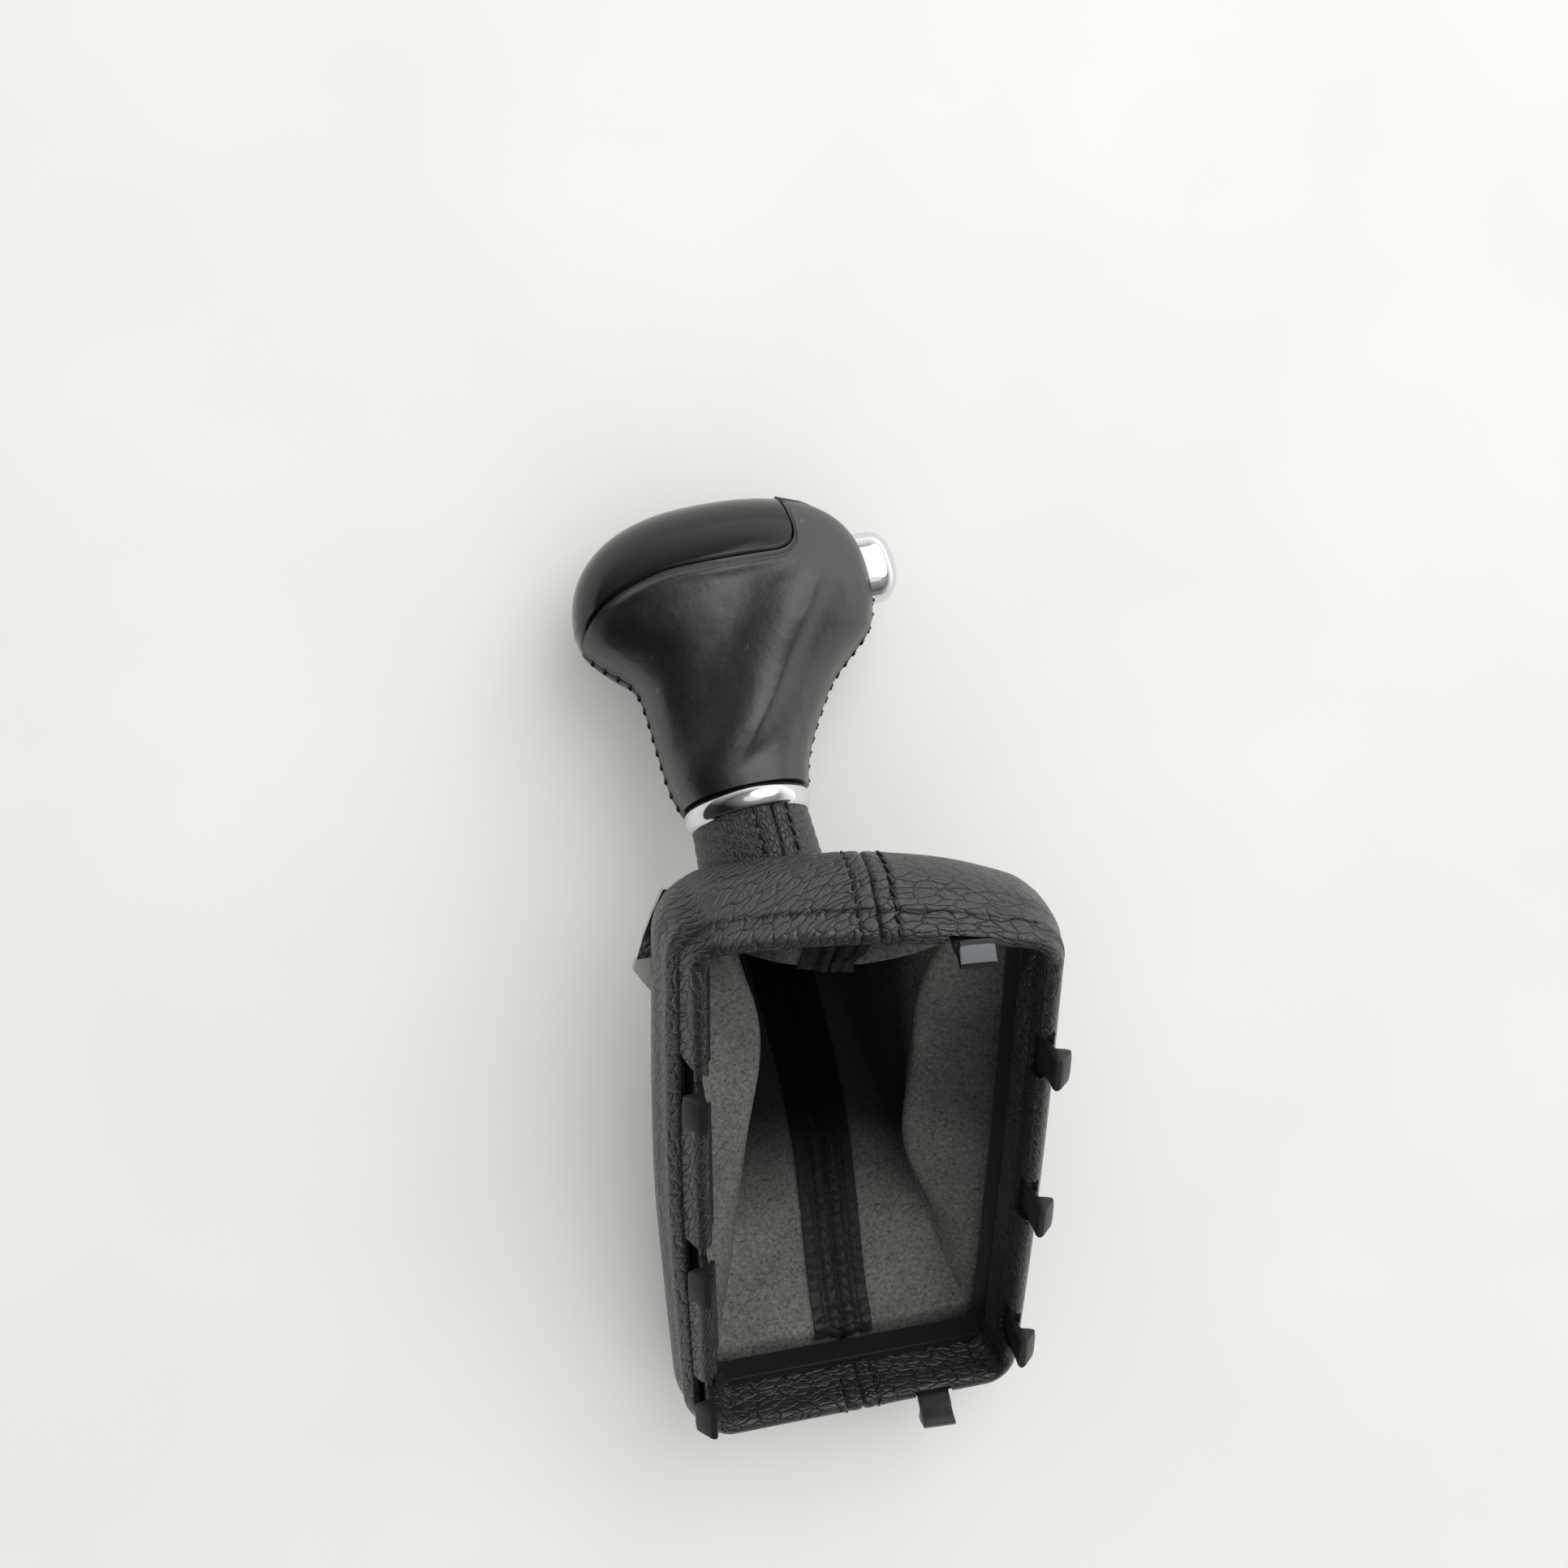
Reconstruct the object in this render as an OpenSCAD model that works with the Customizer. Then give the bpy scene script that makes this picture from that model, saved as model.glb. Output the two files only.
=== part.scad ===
// Gear shift knob of an automatic car, with its leather boot and the clip frame of the boot.
// It lies on its side, as it does when it is taken off the car: the back of the head and
// the lower edge of the boot frame touch the table, +Z is up.
// The origin is the middle of the socket mouth, where the gear lever enters the knob.

/* [Lever socket] */
// Diameter of the gear lever that the steel sleeve takes
lever_d = 12; // [9:0.5:13]
// Wall of the steel sleeve
sleeve_wall = 2; // [1.5:0.25:2.5]
// Depth of the socket, from its mouth to the end of the sleeve
socket_depth = 42; // [34:1:46]
// Diameter of the two screw holes across the neck
neck_hole_d = 3.4; // [2:0.2:4.4]
// Height of those screw holes over the socket mouth
neck_hole_z = 3.6; // [3:0.2:4.2]

/* [Neck and ring] */
// Outer diameter of the chrome ring
ring_d = 34.5; // [34:0.5:38]
// Height of the chrome ring
ring_h = 6.2; // [5:0.2:9]
// Height of the lower edge of the ring over the socket mouth
ring_z = 19; // [17:0.5:22]
// Height of the plastic collar that the boot neck is fixed to
collar_h = 14; // [11:0.5:15]
// Wall of that collar
collar_wall = 2; // [1.5:0.25:2.25]

/* [Knob head] */
// Reach of the head from the lever axis to the button side
head_right = 48.8; // [42:0.2:56]
// Reach of the head from the lever axis to the far side
head_left = 35.2; // [31:0.2:42]
// Half of the head's thickness, front to back
head_half = 24; // [20:0.5:28]
// Height of the widest part of the head over the socket mouth
head_z = 80; // [77:0.5:84]
// Height of the crown of the cap over the widest part of the head
dome_h = 33; // [30:0.5:40]
// Thickness of the knob leather
leather_t = 1.3; // [0.8:0.1:1.8]
// Wall of the gloss cap
cap_wall = 2.4; // [1.8:0.1:3.2]
// Height of the straight part of the cap's parting line over the widest part of the head
parting_lift = 6.5; // [6:0.5:9]
// Distance from the lever axis to the edge of the cap on the button side
parting_x = 27.5; // [25:0.5:31]
// Open seam between the cap and the leather
parting_gap = 0.3; // [0.1:0.1:0.6]

/* [Release button] */
// Height of the chrome button
button_h = 20.6; // [17:0.2:21]
// Depth of the chrome button, front to back
button_w = 14; // [11:0.5:18]
// How far the button stands out of the head
button_out = 8.5; // [7:0.5:12]
// Height of the middle of the button over the widest part of the head
button_lift = 4.5; // [4:0.25:5]
// Travel of the button into the head
button_travel = 6; // [3:0.5:6]
// Depth of the slider body, front to back
slider_w = 10; // [8:0.5:12]
// Wire of the return spring
spring_wire = 0.6; // [0.4:0.1:0.8]
// Outer diameter of the return spring
spring_d = 5; // [4:0.25:5.5]
// Diameter of the rod of the plunger
plunger_d = 6; // [4:0.5:7]

/* [Boot] */
// Thickness of the boot leather
boot_t = 1.3; // [0.9:0.1:1.6]
// How far the chrome ring stands out over the boot's neck
ring_lip = 1.65; // [1.4:0.05:2]
// How much the boot's neck widens towards its lower end
neck_flare = 0.8; // [0.4:0.1:2]
// How far the underside of the boot sags
belly = 8; // [4:1:14]
// How far the sides of the boot fall inwards
side_fall = 12; // [0:1:16]
// Width of the tape sewn over the seams inside the boot
tape_w = 13; // [8:1:16]
// Thickness of that tape
tape_t = 0.8; // [0.5:0.1:1.2]

/* [Boot frame] */
// Width of the frame over its rim, at the corners
rim_w = 87.6; // [76:0.2:96]
// Length of the frame over its rim, at the corners
rim_l = 146.8; // [130:0.2:160]
// How far the long sides bow outwards
side_bow = 1; // [0:0.2:3]
// How far the far end bows outwards
end_bow = 3.4; // [0:0.2:5]
// How far the far end is skewed, its left corner outwards
end_skew = 1.6; // [0:0.2:3]
// Corner radius of the rim
rim_r = 7; // [5:0.5:12]
// How much wider the far end of the frame is, as a share of its half width
rim_taper = 0.012; // [0:0.002:0.05]
// How far a corner of the worn frame is twisted out of plane
rim_twist = 3.2; // [0:0.2:4]
// How far the padded band stands out of the rim
band_out = 7.6; // [5:0.2:10]
// Depth of the frame from the rim to its back edge
band_depth = 26; // [24:0.5:30]
// How far the inner wall leans in on the long sides
inner_lean = 8; // [5:0.5:9]
// Wall of the moulded frame
frame_wall = 2.1; // [1.6:0.1:2.4]
// Width of a hook clip
clip_w = 9; // [7:0.5:12]
// How far a hook clip stands out over the rim
clip_h = 8.4; // [7:0.2:11]
// Reach of the barb of a hook clip
barb = 3.6; // [2.5:0.1:4.5]
// Clear width of the leather cut-out on each side of a clip
clip_room = 2; // [1:0.5:3]

/* [Resting pose] */
// How far the lever axis points down towards the head
knob_drop = 16.5; // [15:0.5:18]
// How far the lever axis is turned to the far side
knob_yaw = 7.5; // [5:0.5:10]
// How far the frame rises towards the knob
frame_rise = 23.5; // [22:0.5:25]
// Middle of the far end of the rim, seen from the socket mouth
rim_far = [20.4, -12.2, 40.6];
// Height of the table, seen from the socket mouth
table_z = -48; // [-49:0.5:-46]

/* [Hidden] */
$fn = 64;
eps = 0.01;

// Clearances: between seated pieces, between sliding pieces, and round the button
seat = 0.1;
slide = 0.3;
button_room = 0.4;

// Places
to_knob = -90 - knob_drop;
top_z = head_z + dome_h;
parting_z = head_z + parting_lift;
button_z = head_z + button_lift;
leather_z = ring_z + ring_h;
leather_r = ring_d / 2;
boot_neck_r = ring_d / 2 - ring_lip;
boot_flare_r = boot_neck_r + neck_flare;
neck_r = boot_neck_r - boot_t - collar_wall - 3 * seat;
sleeve_r = lever_d / 2 + sleeve_wall;
core_skin = leather_t + seat;
crown_x = 3;

// Small maths: a smooth curve through points, a signed power and two turns
function slope(p, i) =
    let (a = max(i - 1, 0), b = min(i + 1, len(p) - 1)) (p[b].y - p[a].y) / (p[b].x - p[a].x);
function curve(p, u) =
    let (i = min(len(p) - 2, len([for (q = p) if (q.x <= u) 1]) - 1),
        h = p[i + 1].x - p[i].x, t = (u - p[i].x) / h)
    p[i].y * (2 * t^3 - 3 * t^2 + 1) + p[i + 1].y * (3 * t^2 - 2 * t^3)
    + h * slope(p, i) * (t^3 - 2 * t^2 + t) + h * slope(p, i + 1) * (t^3 - t^2);
function spow(x, e) = sign(x) * pow(abs(x), e);
function unit(v) = v / max(norm(v), eps * eps);
function turn_x(p, a) = [p.x, p.y * cos(a) - p.z * sin(a), p.y * sin(a) + p.z * cos(a)];
function turn_z(p, a) = [p.x * cos(a) - p.y * sin(a), p.x * sin(a) + p.y * cos(a), p.z];
function from_knob(p) = turn_z(turn_x(p, to_knob), knob_yaw);
rim_place = rim_far - turn_x([0, rim_l / 2, 0], frame_rise);
function from_frame(p) = rim_place + turn_x(p, frame_rise);

// Lays down what is drawn upright in the knob's own frame: lever axis +Z, button side +X,
// front of the knob -Y
module in_knob() { rotate([0, 0, knob_yaw]) rotate([to_knob, 0, 0]) children(); }
// Places what is drawn in the frame's own coordinates: X across, Y along, Z out of the rim
module in_frame() { translate(rim_place) rotate([frame_rise, 0, 0]) children(); }

// Normals of a grid of points, and the grid moved along them. The columns close on
// themselves where ring is true.
function grid_normal(g, i, j, ring) =
    let (m = len(g[0]), n = len(g),
        j0 = ring ? (j + m - 1) % m : max(j - 1, 0),
        j1 = ring ? (j + 1) % m : min(j + 1, m - 1),
        du = g[i][j1] - g[i][j0],
        dv = g[min(i + 1, n - 1)][j] - g[max(i - 1, 0)][j])
    unit(cross(du, dv));
function grid_offset(g, d, ring = true) =
    [for (i = [0:len(g) - 1]) [for (j = [0:len(g[0]) - 1])
        g[i][j] - d * grid_normal(g, i, j, ring)]];
function flat_list(g) = [for (row = g) each row];
function columns(g, list) = [for (row = g) [for (j = list) row[j]]];

// Two triangles for each cell between two neighbouring rows of points; back turns them over
function cells(start, rows, m, last, back = false) =
    [for (i = [0:rows - 2]) for (j = [0:last])
        let (k = (j + 1) % m, a = start + i * m + j, b = a + m, c = start + (i + 1) * m + k, d = c - m)
        each back ? [[a, c, b], [a, d, c]] : [[a, b, c], [a, c, d]]];

// A closed loft of rings, flat at both ends
module loft(g) {
    m = len(g[0]);
    n = len(g);
    polyhedron(flat_list(g), concat([[for (j = [0:m - 1]) j]],
        [[for (j = [m - 1:-1:0]) (n - 1) * m + j]], cells(0, n, m, m - 1)));
}

// A sheet of even thickness between a front grid and a back grid, joined along its edges
module sheet(front, back) {
    m = len(front[0]);
    n = len(front);
    s = n * m;
    b = (n - 1) * m;
    e = m - 1;
    polyhedron(concat(flat_list(front), flat_list(back)), concat(
        cells(0, n, m, m - 2), cells(s, n, m, m - 2, true),
        [for (j = [0:m - 2]) each [[j, j + 1, s + j + 1], [j, s + j + 1, s + j]]],
        [for (j = [0:m - 2]) each [[b + j + 1, b + j, s + b + j], [b + j + 1, s + b + j, s + b + j + 1]]],
        [for (i = [0:n - 2]) let (p = i * m, q = p + m) each [[p, s + p, s + q], [p, s + q, q]]],
        [for (i = [0:n - 2]) let (p = i * m + e, q = p + m) each [[p, q, s + q], [p, s + q, s + p]]]));
}

// Outline of the head. Below its widest part each side follows shape points: share of the
// height, share of the reach. Above it the head closes as a superellipse.
right_shape = [[0, 0], [0.13, 0.06], [0.27, 0.175], [0.39, 0.3], [0.53, 0.473], [0.67, 0.737],
    [0.745, 0.873], [0.89, 0.975], [1, 1]];
left_shape = [[0, 0], [0.11, 0.09], [0.29, 0.14], [0.5, 0.18], [0.63, 0.235], [0.71, 0.375],
    [0.78, 0.61], [0.89, 0.894], [1, 1]];
half_shape = [[0, 0], [0.27, 0.07], [0.54, 0.33], [0.73, 0.67], [0.9, 0.94], [1, 1]];
dome_right = 2.7;
dome_left = 2.2;
dome_half = 2.2;
section_power = 2.25;
low_rows = 13;
dome_rows = 7;
knob_cols = 32;

function side(shape, reach, u) = leather_r + (reach - leather_r) * curve(shape, u);
function dome(t, e) = pow(max(1 - pow(t, e), 0), 1 / e);
function knob_ring(xl, xr, hy, z) =
    [for (j = [0:knob_cols - 1]) let (a = 360 * j / knob_cols, e = 2 / section_power)
        [(xr - xl) / 2 + (xr + xl) / 2 * spow(cos(a), e), hy * spow(sin(a), e), z]];
knob_grid = concat(
    [for (i = [0:low_rows]) let (u = i / low_rows)
        knob_ring(side(left_shape, head_left, u), side(right_shape, head_right, u),
            side(half_shape, head_half, u), leather_z + (head_z - leather_z) * u)],
    [for (i = [1:dome_rows]) let (t = sin(88 * i / dome_rows))
        knob_ring((head_left + crown_x) * dome(t, dome_left) - crown_x,
            (head_right - crown_x) * dome(t, dome_right) + crown_x,
            head_half * dome(t, dome_half), head_z + (top_z - head_z) * t)]);

// Region over the parting line, seen from the front, reaching through the whole head
module cap_zone(gap) {
    rotate([90, 0, 0]) translate([0, 0, -2 * head_half]) linear_extrude(4 * head_half)
        polygon([[-2 * head_left, head_z - 8 + gap], [-head_left, head_z - 6.4 + gap],
            [3 - head_left, head_z - 2.6 + gap], [9 - head_left, head_z + 1.3 + gap],
            [17 - head_left, parting_z - 2 + gap], [26 - head_left, parting_z + gap],
            [parting_x - 6.5, parting_z + gap], [parting_x - 2.5, parting_z + 2 + gap],
            [parting_x - gap, parting_z + 6], [parting_x - gap, 2 * top_z],
            [-2 * head_left, 2 * top_z]]);
}

// Button: the middle of its section, how far it reaches, and the mouth in the head
button_tip = head_right + button_out;
button_root = head_right - 6;
pocket_x = button_root - button_travel - slide;
boss_z = button_z - 5;
button_end = 7;
button_rows = 7;
button_cols = 28;
button_power = 2.6;
end_power = 2.3;

function button_ring(x, grow, share = 1) =
    [for (j = [0:button_cols - 1]) let (a = 360 * j / button_cols, e = 2 / button_power)
        [x, (button_w / 2 * share + grow) * spow(cos(a), e),
            button_z + (button_h / 2 * share + grow) * spow(sin(a), e)]];
module button_mouth() {
    loft([button_ring(pocket_x, button_room), button_ring(head_right + button_out, button_room)]);
}

// Knob leather: two panels, front and rear, sewn together along both sides of the head
module knob_leather(first) {
    cols = [for (j = [0:knob_cols / 2]) (first + j) % knob_cols];
    color([0.13, 0.13, 0.14]) in_knob() difference() {
        sheet(columns(knob_grid, cols), columns(grid_offset(knob_grid, leather_t), cols));
        cap_zone(0);
        button_mouth();
    }
}
module knob_leather_front() { knob_leather(knob_cols / 2); }
module knob_leather_rear() { knob_leather(0); }

// Gloss cap: a thin dome that closes the top of the head, with pegs that reach into the core
cap_first_row = 9;
cap_pegs = [[-24, 0], [21.5, 9], [21.5, -9]];
peg_d = 4;
peg_depth = 9;
function cap_rows(g) = [for (i = [cap_first_row:len(g) - 1]) g[i]];
module at_pegs(up) { for (p = cap_pegs) translate([p.x, p.y, parting_z - peg_depth - up]) children(); }
module top_cap() {
    color([0.04, 0.04, 0.05]) in_knob() union() {
        intersection() {
            difference() {
                loft(cap_rows(knob_grid));
                loft(cap_rows(grid_offset(knob_grid, cap_wall)));
            }
            cap_zone(parting_gap);
        }
        intersection() {
            loft(cap_rows(grid_offset(knob_grid, cap_wall / 2)));
            at_pegs(0) cylinder(d = peg_d, h = top_z);
        }
    }
}

// Slider and plunger: they meet on a slope of 45 degrees
slider_low = button_z - 10.5;
slider_high = button_z + 0.5;
stem_h = 7;
stem_w = 7;
stop_wall = 4;
stop_x = pocket_x - stop_wall;
slope_sum = slider_low + 1;
slope_gap = slide * sqrt(2);
spring_z = slider_high - 3;
spring_seat_x = -16.8;
spring_bore_x = 14;
boss_d = 6;
boss_l = 6;
plunger_head = 8;
plunger_low = slope_sum - plunger_head / 2 - 5;
rod_low = socket_depth + button_travel + 0.5;

neck_chamfer = 2;
module knob_core() {
    slot_low = slider_low - slide;
    slot_w = slider_w + 2 * slide;
    shaft_w = plunger_head + 2 * slide;
    shaft_low = plunger_low - button_travel - slide;
    rows = grid_offset(knob_grid, core_skin);
    color([0.1, 0.1, 0.11]) in_knob() difference() {
        union() {
            loft(rows);
            cylinder(r1 = neck_r - neck_chamfer, r2 = neck_r, h = neck_chamfer);
            translate([0, 0, neck_chamfer]) cylinder(r = neck_r, h = leather_z + 4 - neck_chamfer);
        }
        cap_zone(0);
        // Lever socket
        translate([0, 0, -1]) cylinder(r = sleeve_r + seat, h = socket_depth + 1);
        // Screw holes across the neck
        translate([-neck_r - 1, 0, neck_hole_z]) rotate([0, 90, 0])
            cylinder(d = neck_hole_d, h = 2 * neck_r + 2);
        // Slot of the slider, and the stop in front of it
        translate([spring_seat_x, -slot_w / 2, slot_low])
            cube([stop_x - spring_seat_x, slot_w, parting_z - slot_low + 1]);
        translate([stop_x - 1, -stem_w / 2 - slide, boss_z - stem_h / 2 - slide])
            cube([stop_wall + 2, stem_w + 2 * slide, stem_h + 2 * slide]);
        button_mouth();
        // Shaft of the plunger
        translate([-shaft_w / 2, -shaft_w / 2, shaft_low])
            cube([shaft_w, shaft_w, slot_low - shaft_low + 1]);
        translate([0, 0, socket_depth - 1])
            cylinder(d = plunger_d + 2 * slide, h = plunger_low - socket_depth);
        // Holes of the cap's pegs and of the cover's screws
        at_pegs(1) cylinder(d = peg_d + 2 * seat, h = peg_depth + 6);
        for (p = screw_places) translate([p.x, p.y, parting_z - screw_l])
            cylinder(d = screw_d + 2 * seat, h = screw_l + 2);
    }
}

// Steel sleeve that is moulded into the neck, with the two screw holes through it
module lever_sleeve() {
    color([0.62, 0.63, 0.65]) in_knob() difference() {
        cylinder(r = sleeve_r, h = socket_depth);
        translate([0, 0, -1]) cylinder(d = lever_d, h = socket_depth + 2);
        translate([-neck_r - 1, 0, neck_hole_z]) rotate([0, 90, 0])
            cylinder(d = neck_hole_d, h = 2 * neck_r + 2);
    }
}

// Plate that closes the slot of the slider, and its three screws
cover_t = 2;
cover_x = [-17.5, 18];
cover_half = 11.5;
screw_places = [[-13, 8.6], [-13, -8.6], [13, 8.6]];
screw_d = 2.8;
screw_l = 8;
screw_head_d = 5.2;
screw_head_h = 1.8;
module mechanism_cover() {
    color([0.16, 0.16, 0.17]) in_knob() translate([0, 0, parting_z]) difference() {
        translate([cover_x[0], -cover_half, 0])
            cube([cover_x[1] - cover_x[0], 2 * cover_half, cover_t]);
        for (p = screw_places) translate([p.x, p.y, -1]) cylinder(d = screw_d + 2 * seat, h = cover_t + 2);
    }
}
module cover_screw(p) {
    color([0.7, 0.7, 0.72]) in_knob() translate([p.x, p.y, parting_z + cover_t]) difference() {
        union() {
            cylinder(d = screw_head_d, h = screw_head_h);
            translate([0, 0, 0.5 - screw_l]) cylinder(d = screw_d, h = screw_l - 0.5 + eps);
        }
        translate([-0.4, -1.4, screw_head_h - 0.8]) cube([0.8, 2.8, 1]);
        translate([-1.4, -0.4, screw_head_h - 0.8]) cube([2.8, 0.8, 1]);
    }
}
module cover_screw_1() { cover_screw(screw_places[0]); }
module cover_screw_2() { cover_screw(screw_places[1]); }
module cover_screw_3() { cover_screw(screw_places[2]); }

// Chrome button: an oval body that closes like a pebble, pushed onto the boss of the slider
module release_button() {
    rows = concat([button_ring(button_root, 0)],
        [for (i = [0:button_rows]) let (t = sin(86 * i / button_rows))
            button_ring(button_tip - button_end * (1 - t), 0, dome(t, end_power))]);
    color([0.85, 0.86, 0.88]) in_knob() difference() {
        loft(rows);
        translate([button_root - 1, 0, boss_z]) rotate([0, 90, 0])
            cylinder(d = boss_d + 2 * seat, h = boss_l + 1.2);
    }
}

module button_slider() {
    low = slider_low;
    high = slider_high;
    stem_low = boss_z - stem_h / 2;
    color([0.75, 0.74, 0.7]) in_knob() difference() {
        union() {
            rotate([90, 0, 0]) translate([0, 0, -slider_w / 2]) linear_extrude(slider_w)
                polygon([[slope_sum + slope_gap - low, low], [stop_x - slide, low],
                    [stop_x - slide, high], [slope_sum + slope_gap - high, high]]);
            translate([stop_x - slide - 1, -stem_w / 2, stem_low])
                cube([button_root - stop_x + slide + 1, stem_w, stem_h]);
            translate([button_root - 1, 0, boss_z]) rotate([0, 90, 0])
                cylinder(d = boss_d, h = boss_l + 1);
        }
        translate([spring_seat_x, 0, spring_z]) rotate([0, 90, 0])
            cylinder(d = spring_d + 2 * slide, h = spring_bore_x - spring_seat_x);
    }
}

// Return spring of the button: a round wire swept along a helix
spring_turns = 9;
spring_sides = 6;
spring_steps = 12;
module button_spring() {
    r = (spring_d - spring_wire) / 2;
    from = spring_seat_x + spring_wire / 2 + 0.1;
    to = spring_bore_x - spring_wire / 2 - 0.1;
    rings = [for (i = [0:spring_turns * spring_steps]) let (a = 360 * i / spring_steps,
            x = from + (to - from) * i / (spring_turns * spring_steps))
        [for (k = [0:spring_sides - 1]) let (b = 360 * k / spring_sides, q = r + spring_wire / 2 * cos(b))
            [x - spring_wire / 2 * sin(b), q * cos(a), spring_z + q * sin(a)]]];
    color([0.72, 0.72, 0.72]) in_knob() loft(rings);
}

module plunger() {
    h = plunger_head / 2;
    color([0.9, 0.88, 0.8]) in_knob() union() {
        rotate([90, 0, 0]) translate([0, 0, -h]) linear_extrude(2 * h)
            polygon([[-h, plunger_low], [h, plunger_low], [h, slope_sum - h], [-h, slope_sum + h]]);
        translate([0, 0, rod_low]) cylinder(d = plunger_d, h = plunger_low - rod_low + eps);
    }
}

// Chrome ring: a barrel with a flange under the head and a skirt over the boot neck
skirt_h = 2.2;
module chrome_ring() {
    r = ring_d / 2;
    sag = 0.65;
    inner = neck_r + seat;
    skirt = boot_neck_r + 0.25;
    steps = 8;
    barrel = [for (i = [0:steps]) let (t = 2 * i / steps - 1)
        [r - sag * t * t, ring_z + ring_h * i / steps]];
    color([0.86, 0.87, 0.89]) in_knob() rotate_extrude()
        polygon(concat([[skirt, ring_z], each barrel, [inner, ring_z + ring_h],
            [inner, ring_z + skirt_h + 0.6], [skirt, ring_z + skirt_h + 0.6]]));
}

// Plastic collar that the boot neck is fixed to
collar_top = ring_z + skirt_h;
module boot_collar() {
    r = neck_r + 2 * seat;
    color([0.08, 0.08, 0.09]) in_knob() translate([0, 0, collar_top - collar_h]) difference() {
        cylinder(r = r + collar_wall, h = collar_h);
        translate([0, 0, -1]) cylinder(r = r, h = collar_h + 2);
    }
}

// A point of the frame: v runs once round it from the middle of the far end, out is the
// distance outside the rim line, z the height over the rim plane. The inner wall leans in
// half as much on the short sides, from the tucked edge of the leather on.
tuck = 3.3;
// How full the padded band is, by the share of a turn: it is pressed flat on the button side
fullness = [[0, 1], [0.045, 0.92], [0.09, 0.5], [0.13, 0.3], [0.25, 0.4], [0.4, 0.5], [0.5, 0.8],
    [0.6, 0.72], [0.67, 0.85], [0.75, 1.02], [0.9, 0.85], [1, 1]];
function quarter(a, b, r, d) =
    let (arc = PI * r / 2, w = (d - a + r) / r * 180 / PI)
    d < a - r ? [d, b] : d < a - r + arc ? [a - r + r * sin(w), b - r + r * cos(w)]
    : [a, b - r - (d - a + r - arc)];
// A skin is how much of the distance is a wall or a leather, which keeps its thickness
function rim_flat(v, reach, skin) =
    let (w = v - floor(v), pad = max(reach - skin - 1, 0), out = reach - pad * (1 - curve(fullness, w)),
        a = rim_w / 2 + out, b = rim_l / 2 + max(out, 0.5 * (out - tuck)),
        r = max(rim_r + out, 3), q = a - r + PI * r / 2 + b - r,
        fold = w <= 0.5 ? w : 1 - w, near = fold > 0.25,
        p = quarter(a, b, r, 4 * q * (near ? 0.5 - fold : fold)))
    [w <= 0.5 ? p.x : -p.x, near ? -p.y : p.y];
function warp(p, z) =
    let (x = 2 * p.x / rim_w, y = 2 * p.y / rim_l, end = pow(max(y, 0), 3))
    [p.x * (1 + rim_taper * y) + side_bow * x * max(1 - y * y, 0),
        p.y + end * (end_bow * max(1 - x * x, 0) - end_skew * x), z + rim_twist * x * y];
function frame_point(v, out, z, skin = 0) = warp(rim_flat(v, out, skin), z);

// Boot leather. Its rows run from the neck under the ring, down the neck, over the
// open boot, round the padded band, over the rim and a little way down inside.
boot_cols = 56;
neck_seam = 15;
boot_rows = 9;
fold_back = band_depth + 3.7;
band = band_out + boot_t + 4 * seat;
wrap_rows = [[-3.4, -fold_back + 1.2], [0, -fold_back + 1.4], [5, -fold_back + 1.7],
    [band - 0.9, -fold_back + 4.5], [band, -fold_back + 8], [band, -17], [band - 0.9, -12.2],
    [2.6, -6.2], [2.1, -2], [1.7, -0.2], [0.5, 0.8], [-1.6, 0.8], [-2.9, -0.4], [-3.2, -6]];
function neck_point(v, r, z) =
    let (a = 360 * v + neck_seam * (1 + cos(360 * v)) / 2) from_knob([r * sin(a), -r * cos(a), z]);
function hermite(p, dp, q, dq, t) =
    p * (2 * t^3 - 3 * t^2 + 1) + q * (3 * t^2 - 2 * t^3) + dp * (t^3 - 2 * t^2 + t) + dq * (t^3 - t^2);
flare_z = 7.5;
least_run = 30;
lever_down = from_knob([0, 0, -1]);
frame_out = turn_x([0, 0, 1], frame_rise);
// The sides fall inwards most at two thirds of the way
function open_boot(v, t) =
    let (p = neck_point(v, boot_flare_r, flare_z), q = from_frame(frame_point(v, -5, -fold_back)),
        far = norm(q - p), low = (1 - cos(360 * v)) / 2, fall = side_fall * spow(sin(360 * v), 2))
    hermite(p, lever_down * max(0.38 * far, least_run), q, frame_out * (0.5 - 0.3 * low) * far, t)
    - frame_out * belly * low * sin(180 * t) - [fall * 6.75 * t * t * (1 - t), 0, 0];
boot_v = [for (j = [0:boot_cols - 1]) j / boot_cols];
// Soft leather lies flat where it meets the table
function on_table(g) = [for (row = g) [for (p = row) [p.x, p.y, max(p.z, table_z)]]];
boot_grid = on_table(concat(
    [for (t = [0, 0.5]) [for (v = boot_v)
        neck_point(v, boot_neck_r + neck_flare * t, collar_top + (flare_z - collar_top) * t)]],
    [for (i = [0:boot_rows]) [for (v = boot_v) open_boot(v, i / boot_rows)]],
    [for (w = wrap_rows) [for (v = boot_v) from_frame(frame_point(v, w[0], w[1], band - band_out))]]));
boot_inner = grid_offset(boot_grid, -boot_t);

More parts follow.
